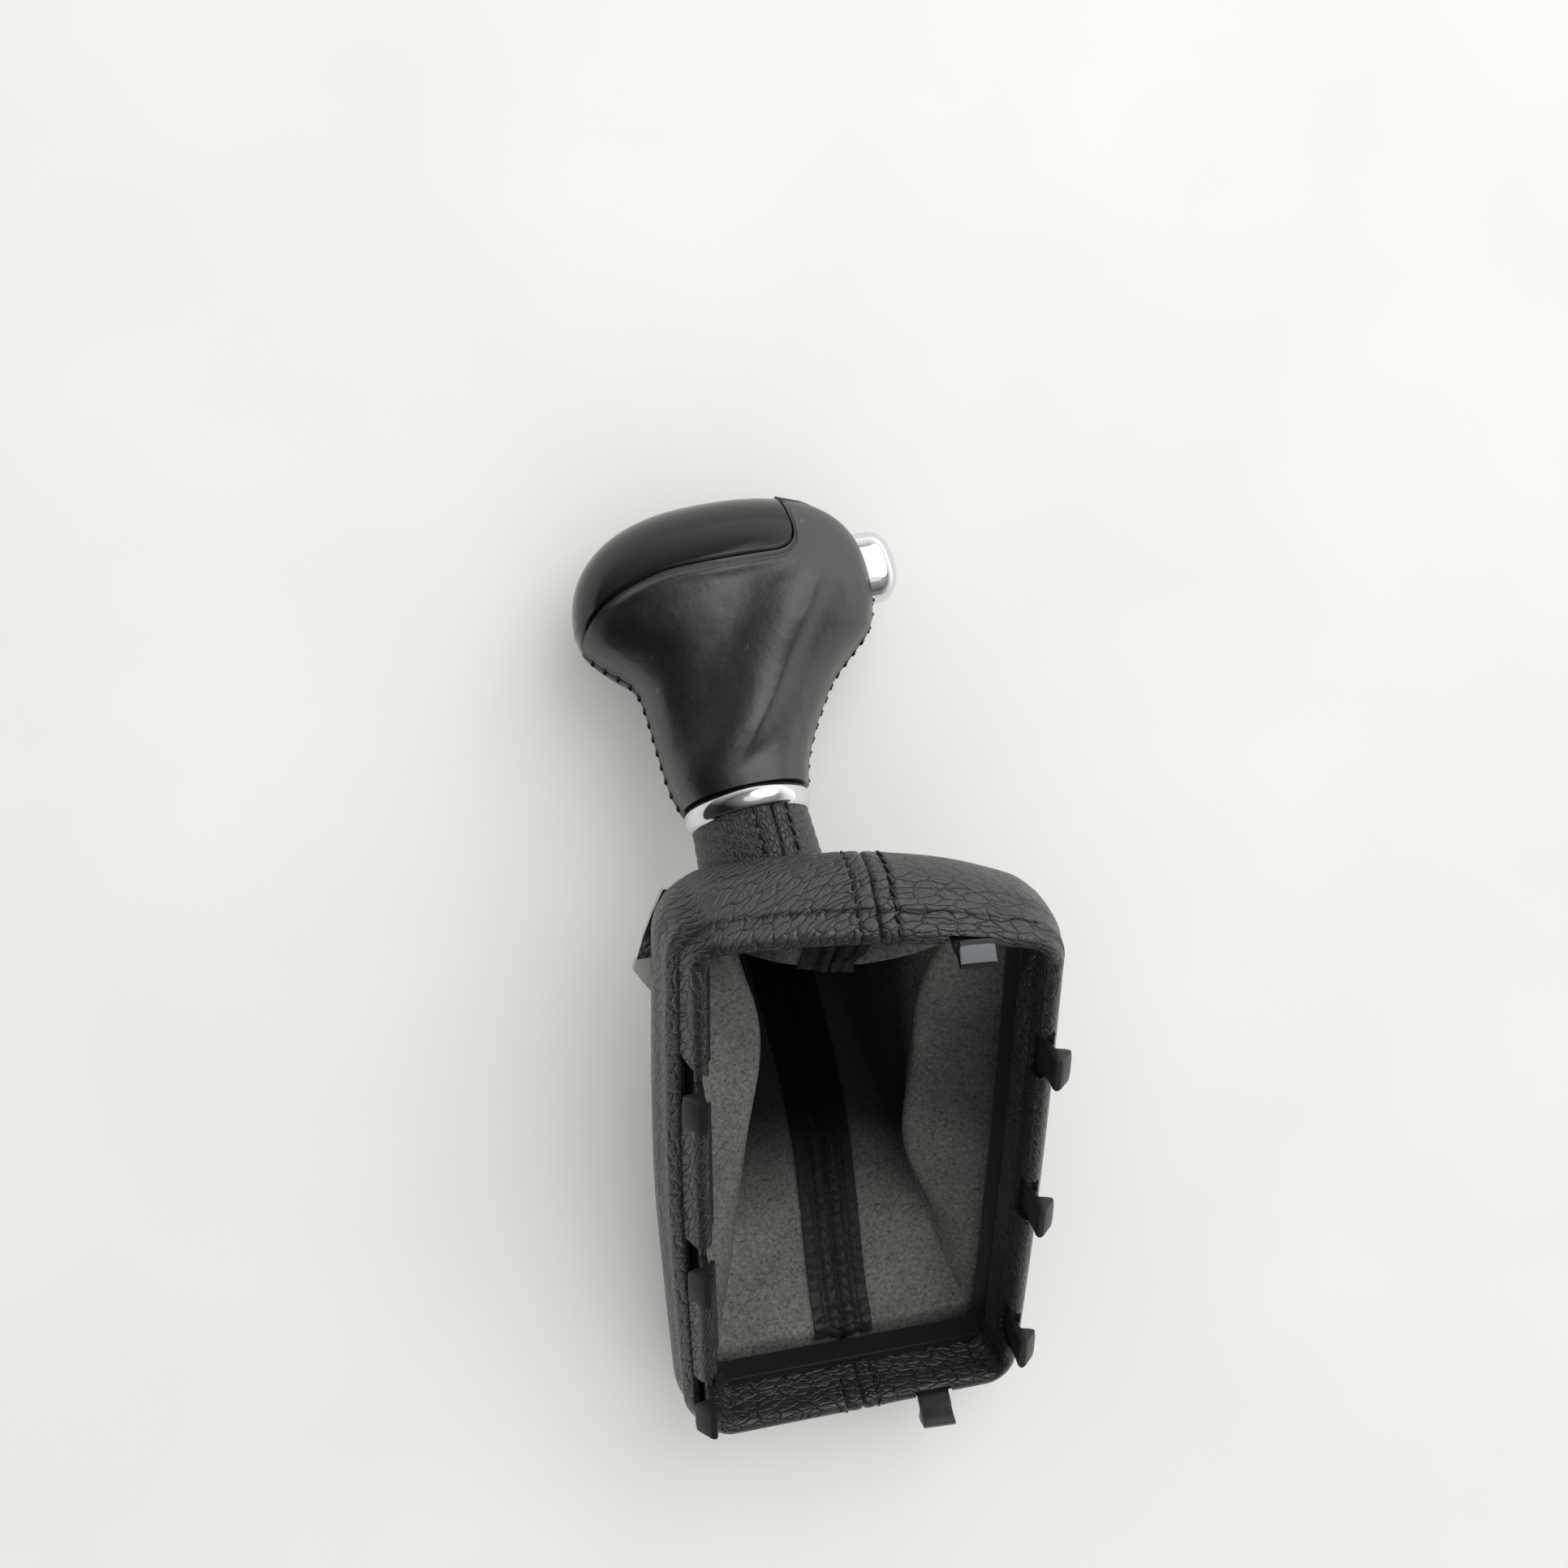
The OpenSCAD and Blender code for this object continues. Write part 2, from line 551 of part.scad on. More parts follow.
// Clips: side of the frame, place along it as a share of the length from the far end, and
// how far each leans outwards. The two end clips are bent.
left_clips = [0.275, 0.629, 0.922];
right_clips = [0.242, 0.568, 0.886];
end_clip_x = [21.7, 21];
end_clip_lean = [-15, 22];
clip_root = -6;
clip_places = concat(
    [for (s = left_clips) [-rim_w / 2, rim_l * (0.5 - s), 180, 0]],
    [for (s = right_clips) [rim_w / 2, rim_l * (0.5 - s), 0, 0]],
    [[end_clip_x[0], rim_l / 2, 90, end_clip_lean[0]], [end_clip_x[1], -rim_l / 2, -90, end_clip_lean[1]]]);
module at_clips() {
    for (c = clip_places) {
        p = warp([c.x, c.y], clip_root);
        in_frame() translate(p) rotate([0, 0, c[2]]) rotate([0, c[3], 0])
            translate([0, 0, -clip_root]) children();
    }
}
module cutouts() {
    w = clip_w + 2 * clip_room;
    at_clips() translate([-frame_wall - 4, -w / 2, -5.6]) cube([barb + frame_wall + 6, w, clip_h + 8]);
}

module boot_panel(first) {
    cols = [for (j = [0:boot_cols / 2]) (first + j) % boot_cols];
    color([0.2, 0.2, 0.21]) difference() {
        sheet(columns(boot_inner, cols), columns(boot_grid, cols));
        cutouts();
    }
}
module boot_panel_right() { boot_panel(0); }
module boot_panel_left() { boot_panel(boot_cols / 2); }

// Tape sewn over the seam inside the boot, from the neck to the frame
tape_first = 4;
module seam_tape(middle) {
    half = 2;
    share = tape_w / 2 / half;
    rows = [tape_first:boot_rows + 1];
    base = grid_offset(boot_grid, -boot_t - seat);
    top = grid_offset(boot_grid, -boot_t - seat - tape_t);
    color([0.06, 0.06, 0.06]) sheet(
        [for (i = rows) [for (k = [-half:half]) tape_point(top[i], middle, k * share)]],
        [for (i = rows) [for (k = [-half:half]) tape_point(base[i], middle, k * share)]]);
}
// A point of a row at a distance to one side of a column
function tape_point(row, middle, d) =
    let (m = len(row), s = sign(d), c = (middle + m) % m, n = (middle + s + m) % m,
        n2 = (middle + 2 * s + m) % m, step = max(norm(row[n] - row[c]), eps), t = abs(d) / step)
    t <= 1 ? row[c] + (row[n] - row[c]) * t
    : row[n] + (row[n2] - row[n]) * min((t - 1) * step / max(norm(row[n2] - row[n]), eps), 1);
module seam_tape_upper() { seam_tape(0); }
module seam_tape_lower() { seam_tape(boot_cols / 2); }

// Moulded frame: a wall at the rim that parts into the band's outer wall and a leaning
// inner wall, with eight hook clips
rim_out = 0.6;
rim_low = -boot_t + 0.8 - 3 * seat;
function from_band(d, z) = [band_out - d, z, -d];
function from_rim(d, z) = [rim_out - d, z, 0];
frame_section = [from_rim(0.9, rim_low), from_rim(0, rim_low - 1), from_rim(0, -6.8),
    from_band(0.6, -13.8), from_band(0, -17.4), from_band(0, 3.5 - band_depth),
    from_band(1, 1.2 - band_depth), from_band(frame_wall, 1.2 - band_depth),
    from_band(frame_wall, -17.4), from_band(frame_wall + 0.8, -14.6), from_rim(1, -8.6),
    [frame_wall - inner_lean, -21.5, 0], [-inner_lean, -21.5, 0], from_rim(frame_wall, -6.5),
    from_rim(frame_wall, rim_low - 1), from_rim(frame_wall - 0.7, rim_low)];
module hook_clip() {
    back = rim_out - frame_wall;
    rotate([90, 0, 0]) translate([0, 0, -clip_w / 2]) linear_extrude(clip_w)
        polygon([[back, clip_root], [rim_out, clip_root], [rim_out, 3], [rim_out + barb, 3.6],
            [rim_out + barb, 4.4], [rim_out - 0.4, clip_h], [back + 0.2, clip_h], [back, clip_h - 1]]);
}
module boot_frame() {
    n = len(frame_section);
    rings = [for (v = boot_v) [for (p = frame_section) from_frame(frame_point(v, p[0], p[1], p[2]))]];
    color([0.07, 0.07, 0.07]) union() {
        polyhedron(flat_list(rings), [for (i = [0:boot_cols - 1]) for (j = [0:n - 1])
            let (a = i * n, b = ((i + 1) % boot_cols) * n, k = (j + 1) % n)
            each [[a + j, b + k, b + j], [a + j, a + k, b + k]]]);
        at_clips() hook_clip();
    }
}

knob_core();
lever_sleeve();
knob_leather_front();
knob_leather_rear();
top_cap();
mechanism_cover();
cover_screw_1();
cover_screw_2();
cover_screw_3();
release_button();
button_slider();
button_spring();
plunger();
chrome_ring();
boot_collar();
boot_panel_right();
boot_panel_left();
seam_tape_upper();
seam_tape_lower();
boot_frame();
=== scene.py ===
# %% [markdown]
# A gear shift knob, off the car
#
# This lesson dresses a used gear shift knob: a leather grip with a gloss black cap and a chrome
# button, a chrome ring, and a stitched leather boot on a plastic clip frame. The solid model of
# the part is loaded first. It says where every piece is, and it never moves. Each visible piece
# then gets a finer skin, worked out with numpy from the same few sizes, and a material.

import bpy
import numpy as np
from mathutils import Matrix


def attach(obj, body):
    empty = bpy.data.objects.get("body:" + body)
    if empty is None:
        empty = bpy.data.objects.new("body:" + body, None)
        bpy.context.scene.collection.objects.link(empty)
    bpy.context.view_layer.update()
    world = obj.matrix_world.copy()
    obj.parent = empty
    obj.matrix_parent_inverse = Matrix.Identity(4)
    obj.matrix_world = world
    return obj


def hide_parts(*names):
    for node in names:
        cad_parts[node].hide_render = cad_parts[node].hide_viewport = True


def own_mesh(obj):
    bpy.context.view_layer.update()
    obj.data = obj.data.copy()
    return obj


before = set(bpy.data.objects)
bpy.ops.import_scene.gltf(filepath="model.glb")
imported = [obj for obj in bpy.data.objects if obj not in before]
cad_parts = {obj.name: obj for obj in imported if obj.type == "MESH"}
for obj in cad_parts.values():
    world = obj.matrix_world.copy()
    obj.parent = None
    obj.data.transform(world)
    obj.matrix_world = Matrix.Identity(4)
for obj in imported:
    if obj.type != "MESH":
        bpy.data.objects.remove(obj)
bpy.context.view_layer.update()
print("the solid model has", len(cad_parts), "pieces")

# %% [markdown]
# Camera
#
# The photograph looks nearly straight down from 0.4 m. A camera is three directions and a place:
# what is to its right, what is up, and what is behind it. They become the columns of its matrix.

# %% Camera
from mathutils import Matrix

MM = 0.001
CAMERA_PLACE = np.array([-64.55, 32.97, 409.58]) * MM
CAMERA_RIGHT = (0.983, -0.0657, 0.1712)
CAMERA_UP = (0.0668, 0.9978, -0.0008)
CAMERA_BACK = (-0.1708, 0.0122, 0.9852)
CAMERA_LENS = 36.056


def make_camera():
    """A camera from its three directions, one in each column of a matrix, and its place in the last."""
    camera = bpy.data.objects.new("camera", bpy.data.cameras.new("camera"))
    columns = np.column_stack([CAMERA_RIGHT, CAMERA_UP, CAMERA_BACK, CAMERA_PLACE])
    camera.matrix_world = Matrix([*columns.tolist(), [0, 0, 0, 1]])
    camera.data.lens = CAMERA_LENS
    camera.data.sensor_width = 36
    camera.data.clip_start = 0.01
    bpy.context.scene.collection.objects.link(camera)
    bpy.context.scene.camera = camera


make_camera()
print("the camera's lens is", CAMERA_LENS, "mm")

# %% [markdown]
# Shader nodes
#
# Colours are written as sRGB hex values, because that is how a colour picker shows them, and one
# function turns them to the linear values that a shader works with. A few more small functions add
# the nodes that every look is made of. What they take is a value or the output of another node.


# %% Colour and node helpers
def colour(code):
    """sRGB hex to linear: below a small value a straight line, above it a power of 2.4."""
    value = np.array([int(code[k:k + 2], 16) for k in (1, 3, 5)]) / 255
    linear = np.where(value <= 0.04045, value / 12.92, ((value + 0.055) / 1.055) ** 2.4)
    return (*linear.tolist(), 1.0)


def fill(tree, node, inputs):
    """Fills a node's inputs, each with a value or with a link from a socket."""
    for name, value in inputs.items():
        if isinstance(value, bpy.types.NodeSocket):
            tree.links.new(value, node.inputs[name])
        else:
            node.inputs[name].default_value = value


def add(tree, kind, inputs=None, **settings):
    """Adds one node: first its settings, then its inputs."""
    made = tree.nodes.new(kind)
    for name, value in settings.items():
        setattr(made, name, value)
    fill(tree, made, inputs or {})
    return made


def new_material(name, inputs):
    """A material, its node tree, and its shader with some inputs filled."""
    material = bpy.data.materials.new(name)
    material.use_nodes = True
    shader = material.node_tree.nodes["Principled BSDF"]
    fill(material.node_tree, shader, inputs)
    return material, material.node_tree, shader


def place_of(tree):
    """Where a point lies in its object, in metres."""
    return add(tree, "ShaderNodeTexCoord").outputs["Object"]


def maths(tree, operation, *values):
    """One step of arithmetic, such as MAXIMUM, on one or two values."""
    return add(tree, "ShaderNodeMath", dict(enumerate(values)), operation=operation).outputs[0]


def noise(tree, place, scale, detail, **more):
    """A soft noise from 0 to 1. Scale is about how many waves lie in a metre, detail adds finer ones."""
    inputs = {"Vector": place, "Scale": scale, "Detail": detail, **more}
    return add(tree, "ShaderNodeTexNoise", inputs).outputs["Fac"]


def mix(tree, factor, a, b, **settings):
    """Two colours mixed by a factor, the first at 0 and the second at 1."""
    inputs = {"Factor": factor, "A": a, "B": b}
    return add(tree, "ShaderNodeMix", inputs, data_type="RGBA", **settings).outputs["Result"]


def bump(tree, height, strength, distance, **more):
    """The normal, tilted by the slope of a height that runs over a distance in metres."""
    inputs = {"Strength": strength, "Distance": distance, "Height": height, **more}
    return add(tree, "ShaderNodeBump", inputs).outputs["Normal"]


def ramp(tree, source, stops):
    """A Color Ramp: each stop is a place from 0 to 1 and a colour."""
    made = add(tree, "ShaderNodeValToRGB", {"Fac": source})
    points = made.color_ramp.elements
    while len(points) < len(stops):
        points.new(0.5)
    for point, (place, value) in zip(points, stops):
        point.position = place
        point.color = value
    return made.outputs["Color"]


def grey(value):
    """A grey as a linear colour, for ramps that carry a number."""
    return (value, value, value, 1.0)


# %% [markdown]
# Table and light
#
# The part lies on a pale table under a large soft light that hangs to its right, above its head.
# The shadows fall softly to the lower left. The table is stage, not part of the object. Mirrors
# see a room: pale towards its walls, dim overhead, bright on the window's side and dark opposite,
# which gives chrome, black gloss and the sheen of leather their contrast. The lamps and a plain
# world light the object. Colours are shown as they are worked out, so the view is Standard.

# %% Table
TABLE_Z, TABLE_HALF = -48.7, 3000.0
TABLE_COLOUR, TABLE_CLOUD = "#fbfcf6", "#f6f7f2"
TABLE_LIFT = 0.1


def mirrored_ray(tree, path):
    """1 for a ray that chrome or glass sends on."""
    return maths(tree, "MAXIMUM", path.outputs["Is Glossy Ray"], path.outputs["Is Transmission Ray"])


def seen_directly(tree):
    """1 for a ray from the camera and for a mirrored one, 0 for the light that falls on things."""
    path = add(tree, "ShaderNodeLightPath")
    return maths(tree, "MAXIMUM", path.outputs["Is Camera Ray"], mirrored_ray(tree, path))


def make_table():
    """A large square under the part, with a faint cloudiness as of a wiped table top."""
    mesh = bpy.data.meshes.new("table_top")
    corners = [(-1, -1), (1, -1), (1, 1), (-1, 1)]
    points = [(x * TABLE_HALF * MM, y * TABLE_HALF * MM, TABLE_Z * MM) for x, y in corners]
    mesh.from_pydata(points, [], [(0, 1, 2, 3)])
    table = bpy.data.objects.new("table_top", mesh)
    bpy.context.scene.collection.objects.link(table)
    plain, cloudy = colour(TABLE_COLOUR), colour(TABLE_CLOUD)
    material, tree, shader = new_material("painted_table_top", {"Roughness": 0.6, "Emission Color": plain})
    cloud = noise(tree, place_of(tree), 9.0, 3.0)
    fill(tree, shader, {"Base Color": ramp(tree, cloud, [(0.35, cloudy), (0.65, plain)]),
        "Emission Strength": maths(tree, "MULTIPLY", seen_directly(tree), TABLE_LIFT)})
    mesh.materials.append(material)
    print("the table lies at", TABLE_Z, "mm")


bpy.context.scene.view_settings.view_transform = "Standard"
make_table()

# %% Lamps and room
LIGHT_LEVEL, LIGHT_SIDE = 0.67, (0.26, 0.12, 0)
MIRROR_LEVEL, MIRROR_LEAST, MIRROR_SIDE = 0.7, 0.06, (0.95, 0.75, 0.1)
ROOM = [(0.0, 0.85), (0.35, 0.6), (0.6, 0.2), (0.8, 0.3), (1.0, 0.45)]


def make_lamp(name, place, aim, size, watts):
    """A round area lamp at a place in millimetres, turned towards a point."""
    lamp = bpy.data.lights.new(name, "AREA")
    lamp.shape = "DISK"
    lamp.size = size
    lamp.energy = watts
    made = bpy.data.objects.new(name, lamp)
    back = np.subtract(place, aim) / np.linalg.norm(np.subtract(place, aim))
    side = np.cross([0, 1, 0.01], back)
    side /= np.linalg.norm(side)
    columns = np.column_stack([side, np.cross(back, side), back, np.array(place) * MM])
    made.matrix_world = Matrix([*columns.tolist(), [0, 0, 0, 1]])
    bpy.context.scene.collection.objects.link(made)


def slanted(tree, towards, level, slope):
    """A strength that grows towards one side: a level plus the direction's dot product with a slope."""
    side = add(tree, "ShaderNodeVectorMath", {0: towards, 1: slope}, operation="DOT_PRODUCT")
    return maths(tree, "ADD", side.outputs["Value"], level)


def background(tree, tint, strength):
    """Light of a colour and a strength from all round."""
    return add(tree, "ShaderNodeBackground", {"Color": tint, "Strength": strength}).outputs[0]


def either(tree, switch, off, on):
    """One light where a switch is 0, and another where it is 1."""
    return add(tree, "ShaderNodeMixShader", {0: switch, 1: off, 2: on}).outputs[0]


def make_world():
    """Plain light for everything, a little stronger from the window's side, a pale wall for the camera, and
    a room with a dim ceiling for mirrors."""
    world = bpy.data.worlds.new("pale_room")
    bpy.context.scene.world = world
    world.use_nodes = True
    tree = world.node_tree
    tree.nodes.clear()
    path = add(tree, "ShaderNodeLightPath")
    towards = add(tree, "ShaderNodeTexCoord").outputs["Generated"]
    height = add(tree, "ShaderNodeSeparateXYZ", {"Vector": towards}).outputs["Z"]
    room = ramp(tree, height, [(place, grey(value)) for place, value in ROOM])
    bright = maths(tree, "MAXIMUM", slanted(tree, towards, MIRROR_LEVEL, MIRROR_SIDE), MIRROR_LEAST)
    lit = background(tree, colour("#f6f7f8"), slanted(tree, towards, LIGHT_LEVEL, LIGHT_SIDE))
    shown = background(tree, colour("#f2f3f1"), 0.9)
    seen = either(tree, path.outputs["Is Camera Ray"], lit, shown)
    light = either(tree, mirrored_ray(tree, path), seen, background(tree, room, bright))
    add(tree, "ShaderNodeOutputWorld", {"Surface": light})


make_world()
make_lamp("window_light", (720, 980, 1300), (10, -20, 0), 1.7, 9.6)
make_lamp("ceiling_light", (120, 260, 950), (0, -40, 0), 0.7, 0.6)
print("two lamps and a room light the part")

# %% [markdown]
# From sizes to points
#
# Every skin below is a grid of points, worked out as whole arrays. The part has two frames of its
# own: the knob's, whose Z is the lever and whose X points to the button, and the boot frame's,
# whose Z points out of its rim. Both lie turned on the table, so a shape is worked out upright
# and then turned.

# %% Places and turns
KNOB_DROP, KNOB_YAW, FRAME_RISE = 16.5, 7.5, 23.5
RIM_W, RIM_L = 87.6, 146.8
RIM_FAR = (20.4, -12.2, 40.6)


def turned(points, degrees, first, second):
    """Turns points by an angle in the plane of two of their axes, from the first to the second."""
    angle = np.radians(degrees)
    out = np.array(points, float)
    out[..., first] = points[..., first] * np.cos(angle) - points[..., second] * np.sin(angle)
    out[..., second] = points[..., first] * np.sin(angle) + points[..., second] * np.cos(angle)
    return out


RIM_PLACE = RIM_FAR - turned(np.array([0, RIM_L / 2, 0]), FRAME_RISE, 1, 2)


def from_knob(points):
    """The knob's own millimetres to the table's."""
    return turned(turned(np.asarray(points, float), -90 - KNOB_DROP, 1, 2), KNOB_YAW, 0, 1)


def from_frame(points):
    """The boot frame's own millimetres to the table's."""
    return RIM_PLACE + turned(np.asarray(points, float), FRAME_RISE, 1, 2)


def stack(*parts):
    """Arrays of x, y and z, spread to one shape, as an array of points."""
    return np.stack(np.broadcast_arrays(*parts), axis=-1).astype(float)


def unit(vectors):
    """Each vector divided by its length."""
    return vectors / np.maximum(np.linalg.norm(vectors, axis=-1, keepdims=True), 1e-9)


def smoothstep(low, high, value):
    """0 below low, 1 above high, and a smooth cubic between."""
    t = np.clip((value - low) / (high - low), 0, 1)
    return t * t * (3 - 2 * t)


def bell(value, width):
    """A smooth bump, 1 at 0 and nearly nothing past twice its width."""
    return np.exp(-(value / width) ** 2)


def cubic(first, last, leave, arrive, t):
    """The cubic from first to last, by t from 0 to 1, that sets out and comes in with the given slopes."""
    return (first * (2 * t**3 - 3 * t**2 + 1) + last * (3 * t**2 - 2 * t**3)
        + leave * (t**3 - 2 * t**2 + t) + arrive * (t**3 - t**2))


def curve(points, at):
    """A smooth curve through a few points: a cubic in each gap, its slope at a point from the neighbours."""
    x, y = np.array(points, float).T
    slope = np.empty(len(x))
    slope[1:-1] = (y[2:] - y[:-2]) / (x[2:] - x[:-2])
    slope[0] = (y[1] - y[0]) / (x[1] - x[0])
    slope[-1] = (y[-1] - y[-2]) / (x[-1] - x[-2])
    at = np.clip(at, x[0], x[-1])
    i = np.clip(np.searchsorted(x, at, side="right") - 1, 0, len(x) - 2)
    h = x[i + 1] - x[i]
    return cubic(y[i], y[i + 1], h * slope[i], h * slope[i + 1], (at - x[i]) / h)


# %% [markdown]
# Grids to meshes
#
# A grid's outward side is found by crossing its two directions of running. A shell is two grids,
# an outer and an inner, with a wall wherever the kept cells end, so that holes and cut edges are
# closed too.


# %% Grid helpers
def grid_normals(points, closed=False):
    """Unit normals of a grid: along the columns crossed with along the rows."""
    wide = np.concatenate([points[:, -1:], points, points[:, :1]], axis=1) if closed else points
    across = np.gradient(wide, axis=1)
    across = across[:, 1:-1] if closed else across
    return unit(np.cross(across, np.gradient(points, axis=0)))


def run_length(points, axis):
    """Length along a grid from its first row or column, at every point."""
    steps = np.linalg.norm(np.diff(points, axis=axis), axis=-1)
    start = np.zeros_like(np.take(steps, [0], axis=axis))
    return np.concatenate([start, np.cumsum(steps, axis=axis)], axis=axis)


def from_sides(grid):
    """Length along each row from the nearer of a grid's two sides."""
    return np.minimum(run_length(grid, 1), run_length(grid[:, ::-1], 1)[:, ::-1])


def grid_quads(rows, cols, closed=False):
    """The four corners of every cell of a grid, turned so that the face points outwards."""
    index = np.arange(rows * cols).reshape(rows, cols)
    if closed:
        index = np.concatenate([index, index[:, :1]], axis=1)
    return np.stack([index[:-1, :-1], index[:-1, 1:], index[1:, 1:], index[1:, :-1]], axis=-1)


def shell(outer, inner, keep=None, closed=False):
    """Points, faces and whether a face is on the inner side, for a sheet with walls round what is kept."""
    rows, cols = outer.shape[:2]
    count = rows * cols
    cells = grid_quads(rows, cols, closed)
    front = cells.reshape(-1, 4) if keep is None else cells[keep]
    edges = np.concatenate([front[:, [k, (k + 1) % 4]] for k in range(4)])
    code = edges[:, 0] * count + edges[:, 1]
    rim = edges[~np.isin(code, edges[:, 1] * count + edges[:, 0])]
    walls = np.column_stack([rim[:, 1], rim[:, 0], rim[:, 0] + count, rim[:, 1] + count])
    faces = np.concatenate([front, front[:, ::-1] + count, walls])
    inside = np.zeros(len(faces), int)
    inside[len(front):2 * len(front)] = 1
    points = np.concatenate([outer.reshape(-1, 3), inner.reshape(-1, 3)])
    return points, faces, inside


def make_piece(name, points, faces, materials, body="knob", kind=None, uv=None, unshaded=None,
        sharp=50):
    """A mesh object from arrays in millimetres. Points that no face uses are left out. Kind is each face's
    material, and edges that turn by more than sharp degrees are drawn sharp."""
    used, faces = np.unique(faces, return_inverse=True)
    faces = faces.reshape(-1, 4)
    mesh = bpy.data.meshes.new(name)
    mesh.vertices.add(len(used))
    mesh.vertices.foreach_set("co", (points[used] * MM).ravel())
    mesh.loops.add(faces.size)
    mesh.loops.foreach_set("vertex_index", faces.ravel())
    mesh.polygons.add(len(faces))
    mesh.polygons.foreach_set("loop_start", np.arange(0, faces.size, 4))
    for material in materials:
        mesh.materials.append(material)
    if kind is not None:
        mesh.polygons.foreach_set("material_index", kind)
    if uv is not None:
        layer = mesh.uv_layers.new(name="along")
        layer.data.foreach_set("uv", uv[used][faces.ravel()].ravel())
    # A float attribute for painted shade: 1 where a surface shows its own colour, lower where it is painted
    # darker as shade.
    if unshaded is not None:
        mesh.attributes.new("unshaded", "FLOAT", "POINT").data.foreach_set("value", unshaded[used])
    mesh.update(calc_edges=True)
    mesh.validate()
    mesh.shade_smooth()
    mesh.set_sharp_from_angle(angle=np.radians(sharp))
    piece = bpy.data.objects.new(name, mesh)
    bpy.context.scene.collection.objects.link(piece)
    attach(piece, body)
    print(name, len(faces), "faces")
    return piece


# %% [markdown]
# Leathers
#
# The knob wears smooth coated leather: black, slightly worn to grey where the hand rubs, with a
# soft shine. The boot wears an embossed leather with a pebble grain: raised cells a few
# millimetres wide with narrow grooves between. Its back is suede, a grey nap with dark flecks.
# Both coats are dark films that shine more than bare hide, so the specular level lies well over
# the usual 0.5, and the light and dark of the grain come mostly from reflection; the boot's grooves are also
# painted darker, as shade.


# %% Knob leather
COATING_GLOSS, BOOT_GLOSS = 1.0, 0.85


def knob_leather():
    """Smooth coated leather: roughness varies with wear, and a fine pore grain breaks the shine."""
    material, tree, shader = new_material("coated_nappa_leather",
        {"Roughness": 0.42, "Specular IOR Level": COATING_GLOSS})
    place = place_of(tree)
    wear = noise(tree, place, 60.0, 5.0, Roughness=0.6)
    tint = ramp(tree, wear, [(0.3, colour("#0f0f10")), (0.6, colour("#171718")), (0.8, colour("#232324"))])
    fleck = ramp(tree, noise(tree, place, 300.0, 2.0), [(0.72, grey(0)), (0.78, grey(0.5))])
    pore = add(tree, "ShaderNodeTexVoronoi", {"Vector": place, "Scale": 1400.0}, feature="DISTANCE_TO_EDGE")
    fine = bump(tree, pore.outputs["Distance"], 0.15, 0.0001)
    fill(tree, shader, {"Base Color": mix(tree, fleck, tint, colour("#6b685f")),
        "Roughness": ramp(tree, wear, [(0.3, grey(0.28)), (0.7, grey(0.44))]),
        "Normal": bump(tree, noise(tree, place, 170.0, 4.0), 0.4, 0.0007, Normal=fine)})
    return material


# %% Wrinkled boot leather
WRINKLE_WIDE, WRINKLE_HIGH = 5.2, 2.2
WAVE_REACH = 2.6


def in_cells(tree, vector, wide, high, turn=0.0):
    """A map on which one unit is a cell, whose width and height are given in millimetres."""
    return add(tree, "ShaderNodeMapping", {"Vector": vector, "Rotation": (0, 0, turn),
        "Scale": (1 / (wide * MM), 1 / (high * MM), 1)}).outputs[0]


def creases(tree, sheet, wide, high, turn, share):
    """Crease lines: where a soft noise passes through its middle value. 0 in a crease, 1 beside it."""
    soft = add(tree, "ShaderNodeTexNoise", {"Vector": in_cells(tree, sheet, wide, high, turn), "Scale": 1.0,
        "Detail": 1.0, "Roughness": 0.45, "Distortion": 0.3}, noise_dimensions="2D")
    away = maths(tree, "ABSOLUTE", maths(tree, "SUBTRACT", soft.outputs["Fac"], 0.5))
    return ramp(tree, away, [(0.0, grey(0)), (share * 0.45, grey(0.75)), (share, grey(1))])


def pebbles(tree, sheet, wide, high):
    """Raised cells with narrow grooves between, their outlines made wavy by a soft noise. 0 in a groove."""
    wave = add(tree, "ShaderNodeTexNoise", {"Vector": sheet, "Scale": 260.0, "Detail": 2.0})
    shift = add(tree, "ShaderNodeVectorMath", {0: wave.outputs["Color"], 3: WAVE_REACH * MM},
        operation="SCALE")
    moved = add(tree, "ShaderNodeVectorMath", {0: sheet, 1: shift.outputs[0]}, operation="ADD").outputs[0]
    edge = add(tree, "ShaderNodeTexVoronoi", {"Vector": in_cells(tree, moved, wide, high), "Scale": 1.0,
        "Randomness": 1.0}, feature="DISTANCE_TO_EDGE", voronoi_dimensions="2D")
    return ramp(tree, edge.outputs["Distance"], [(0.0, grey(0)), (0.06, grey(0.6)), (0.2, grey(1))])


def boot_leather():
    """Embossed leather. The map runs in metres along the sheet, so a wrinkle keeps its real size."""
    material, tree, shader = new_material("embossed_boot_leather",
        {"Roughness": 0.5, "Specular IOR Level": BOOT_GLOSS})
    sheet = add(tree, "ShaderNodeUVMap", uv_map="along").outputs["UV"]
    small = creases(tree, sheet, 0.7 * WRINKLE_WIDE, 0.8 * WRINKLE_HIGH, 0.4, 0.08)
    both = mix(tree, 0.25, pebbles(tree, sheet, WRINKLE_WIDE, WRINKLE_HIGH), small)
    grain = noise(tree, sheet, 1100.0, 4.0, Roughness=0.65)
    fine = bump(tree, grain, 0.4, 0.0002)
    wear = noise(tree, sheet, 45.0, 4.0)
    base = ramp(tree, wear, [(0.3, colour("#222223")), (0.7, colour("#2e2e2f"))])
    # The grooves of the grain are painted near black, as shade in the creases.
    deep = mix(tree, both, colour("#0e0e0f"), base)
    speck = ramp(tree, noise(tree, sheet, 700.0, 3.0), [(0.7, grey(0)), (0.76, grey(0.45))])
    fill(tree, shader, {"Base Color": mix(tree, speck, deep, colour("#7c7a74")),
        "Roughness": ramp(tree, grain, [(0.35, grey(0.26)), (0.7, grey(0.46))]),
        "Normal": bump(tree, both, 0.85, 0.00045, Normal=fine)})
    return material


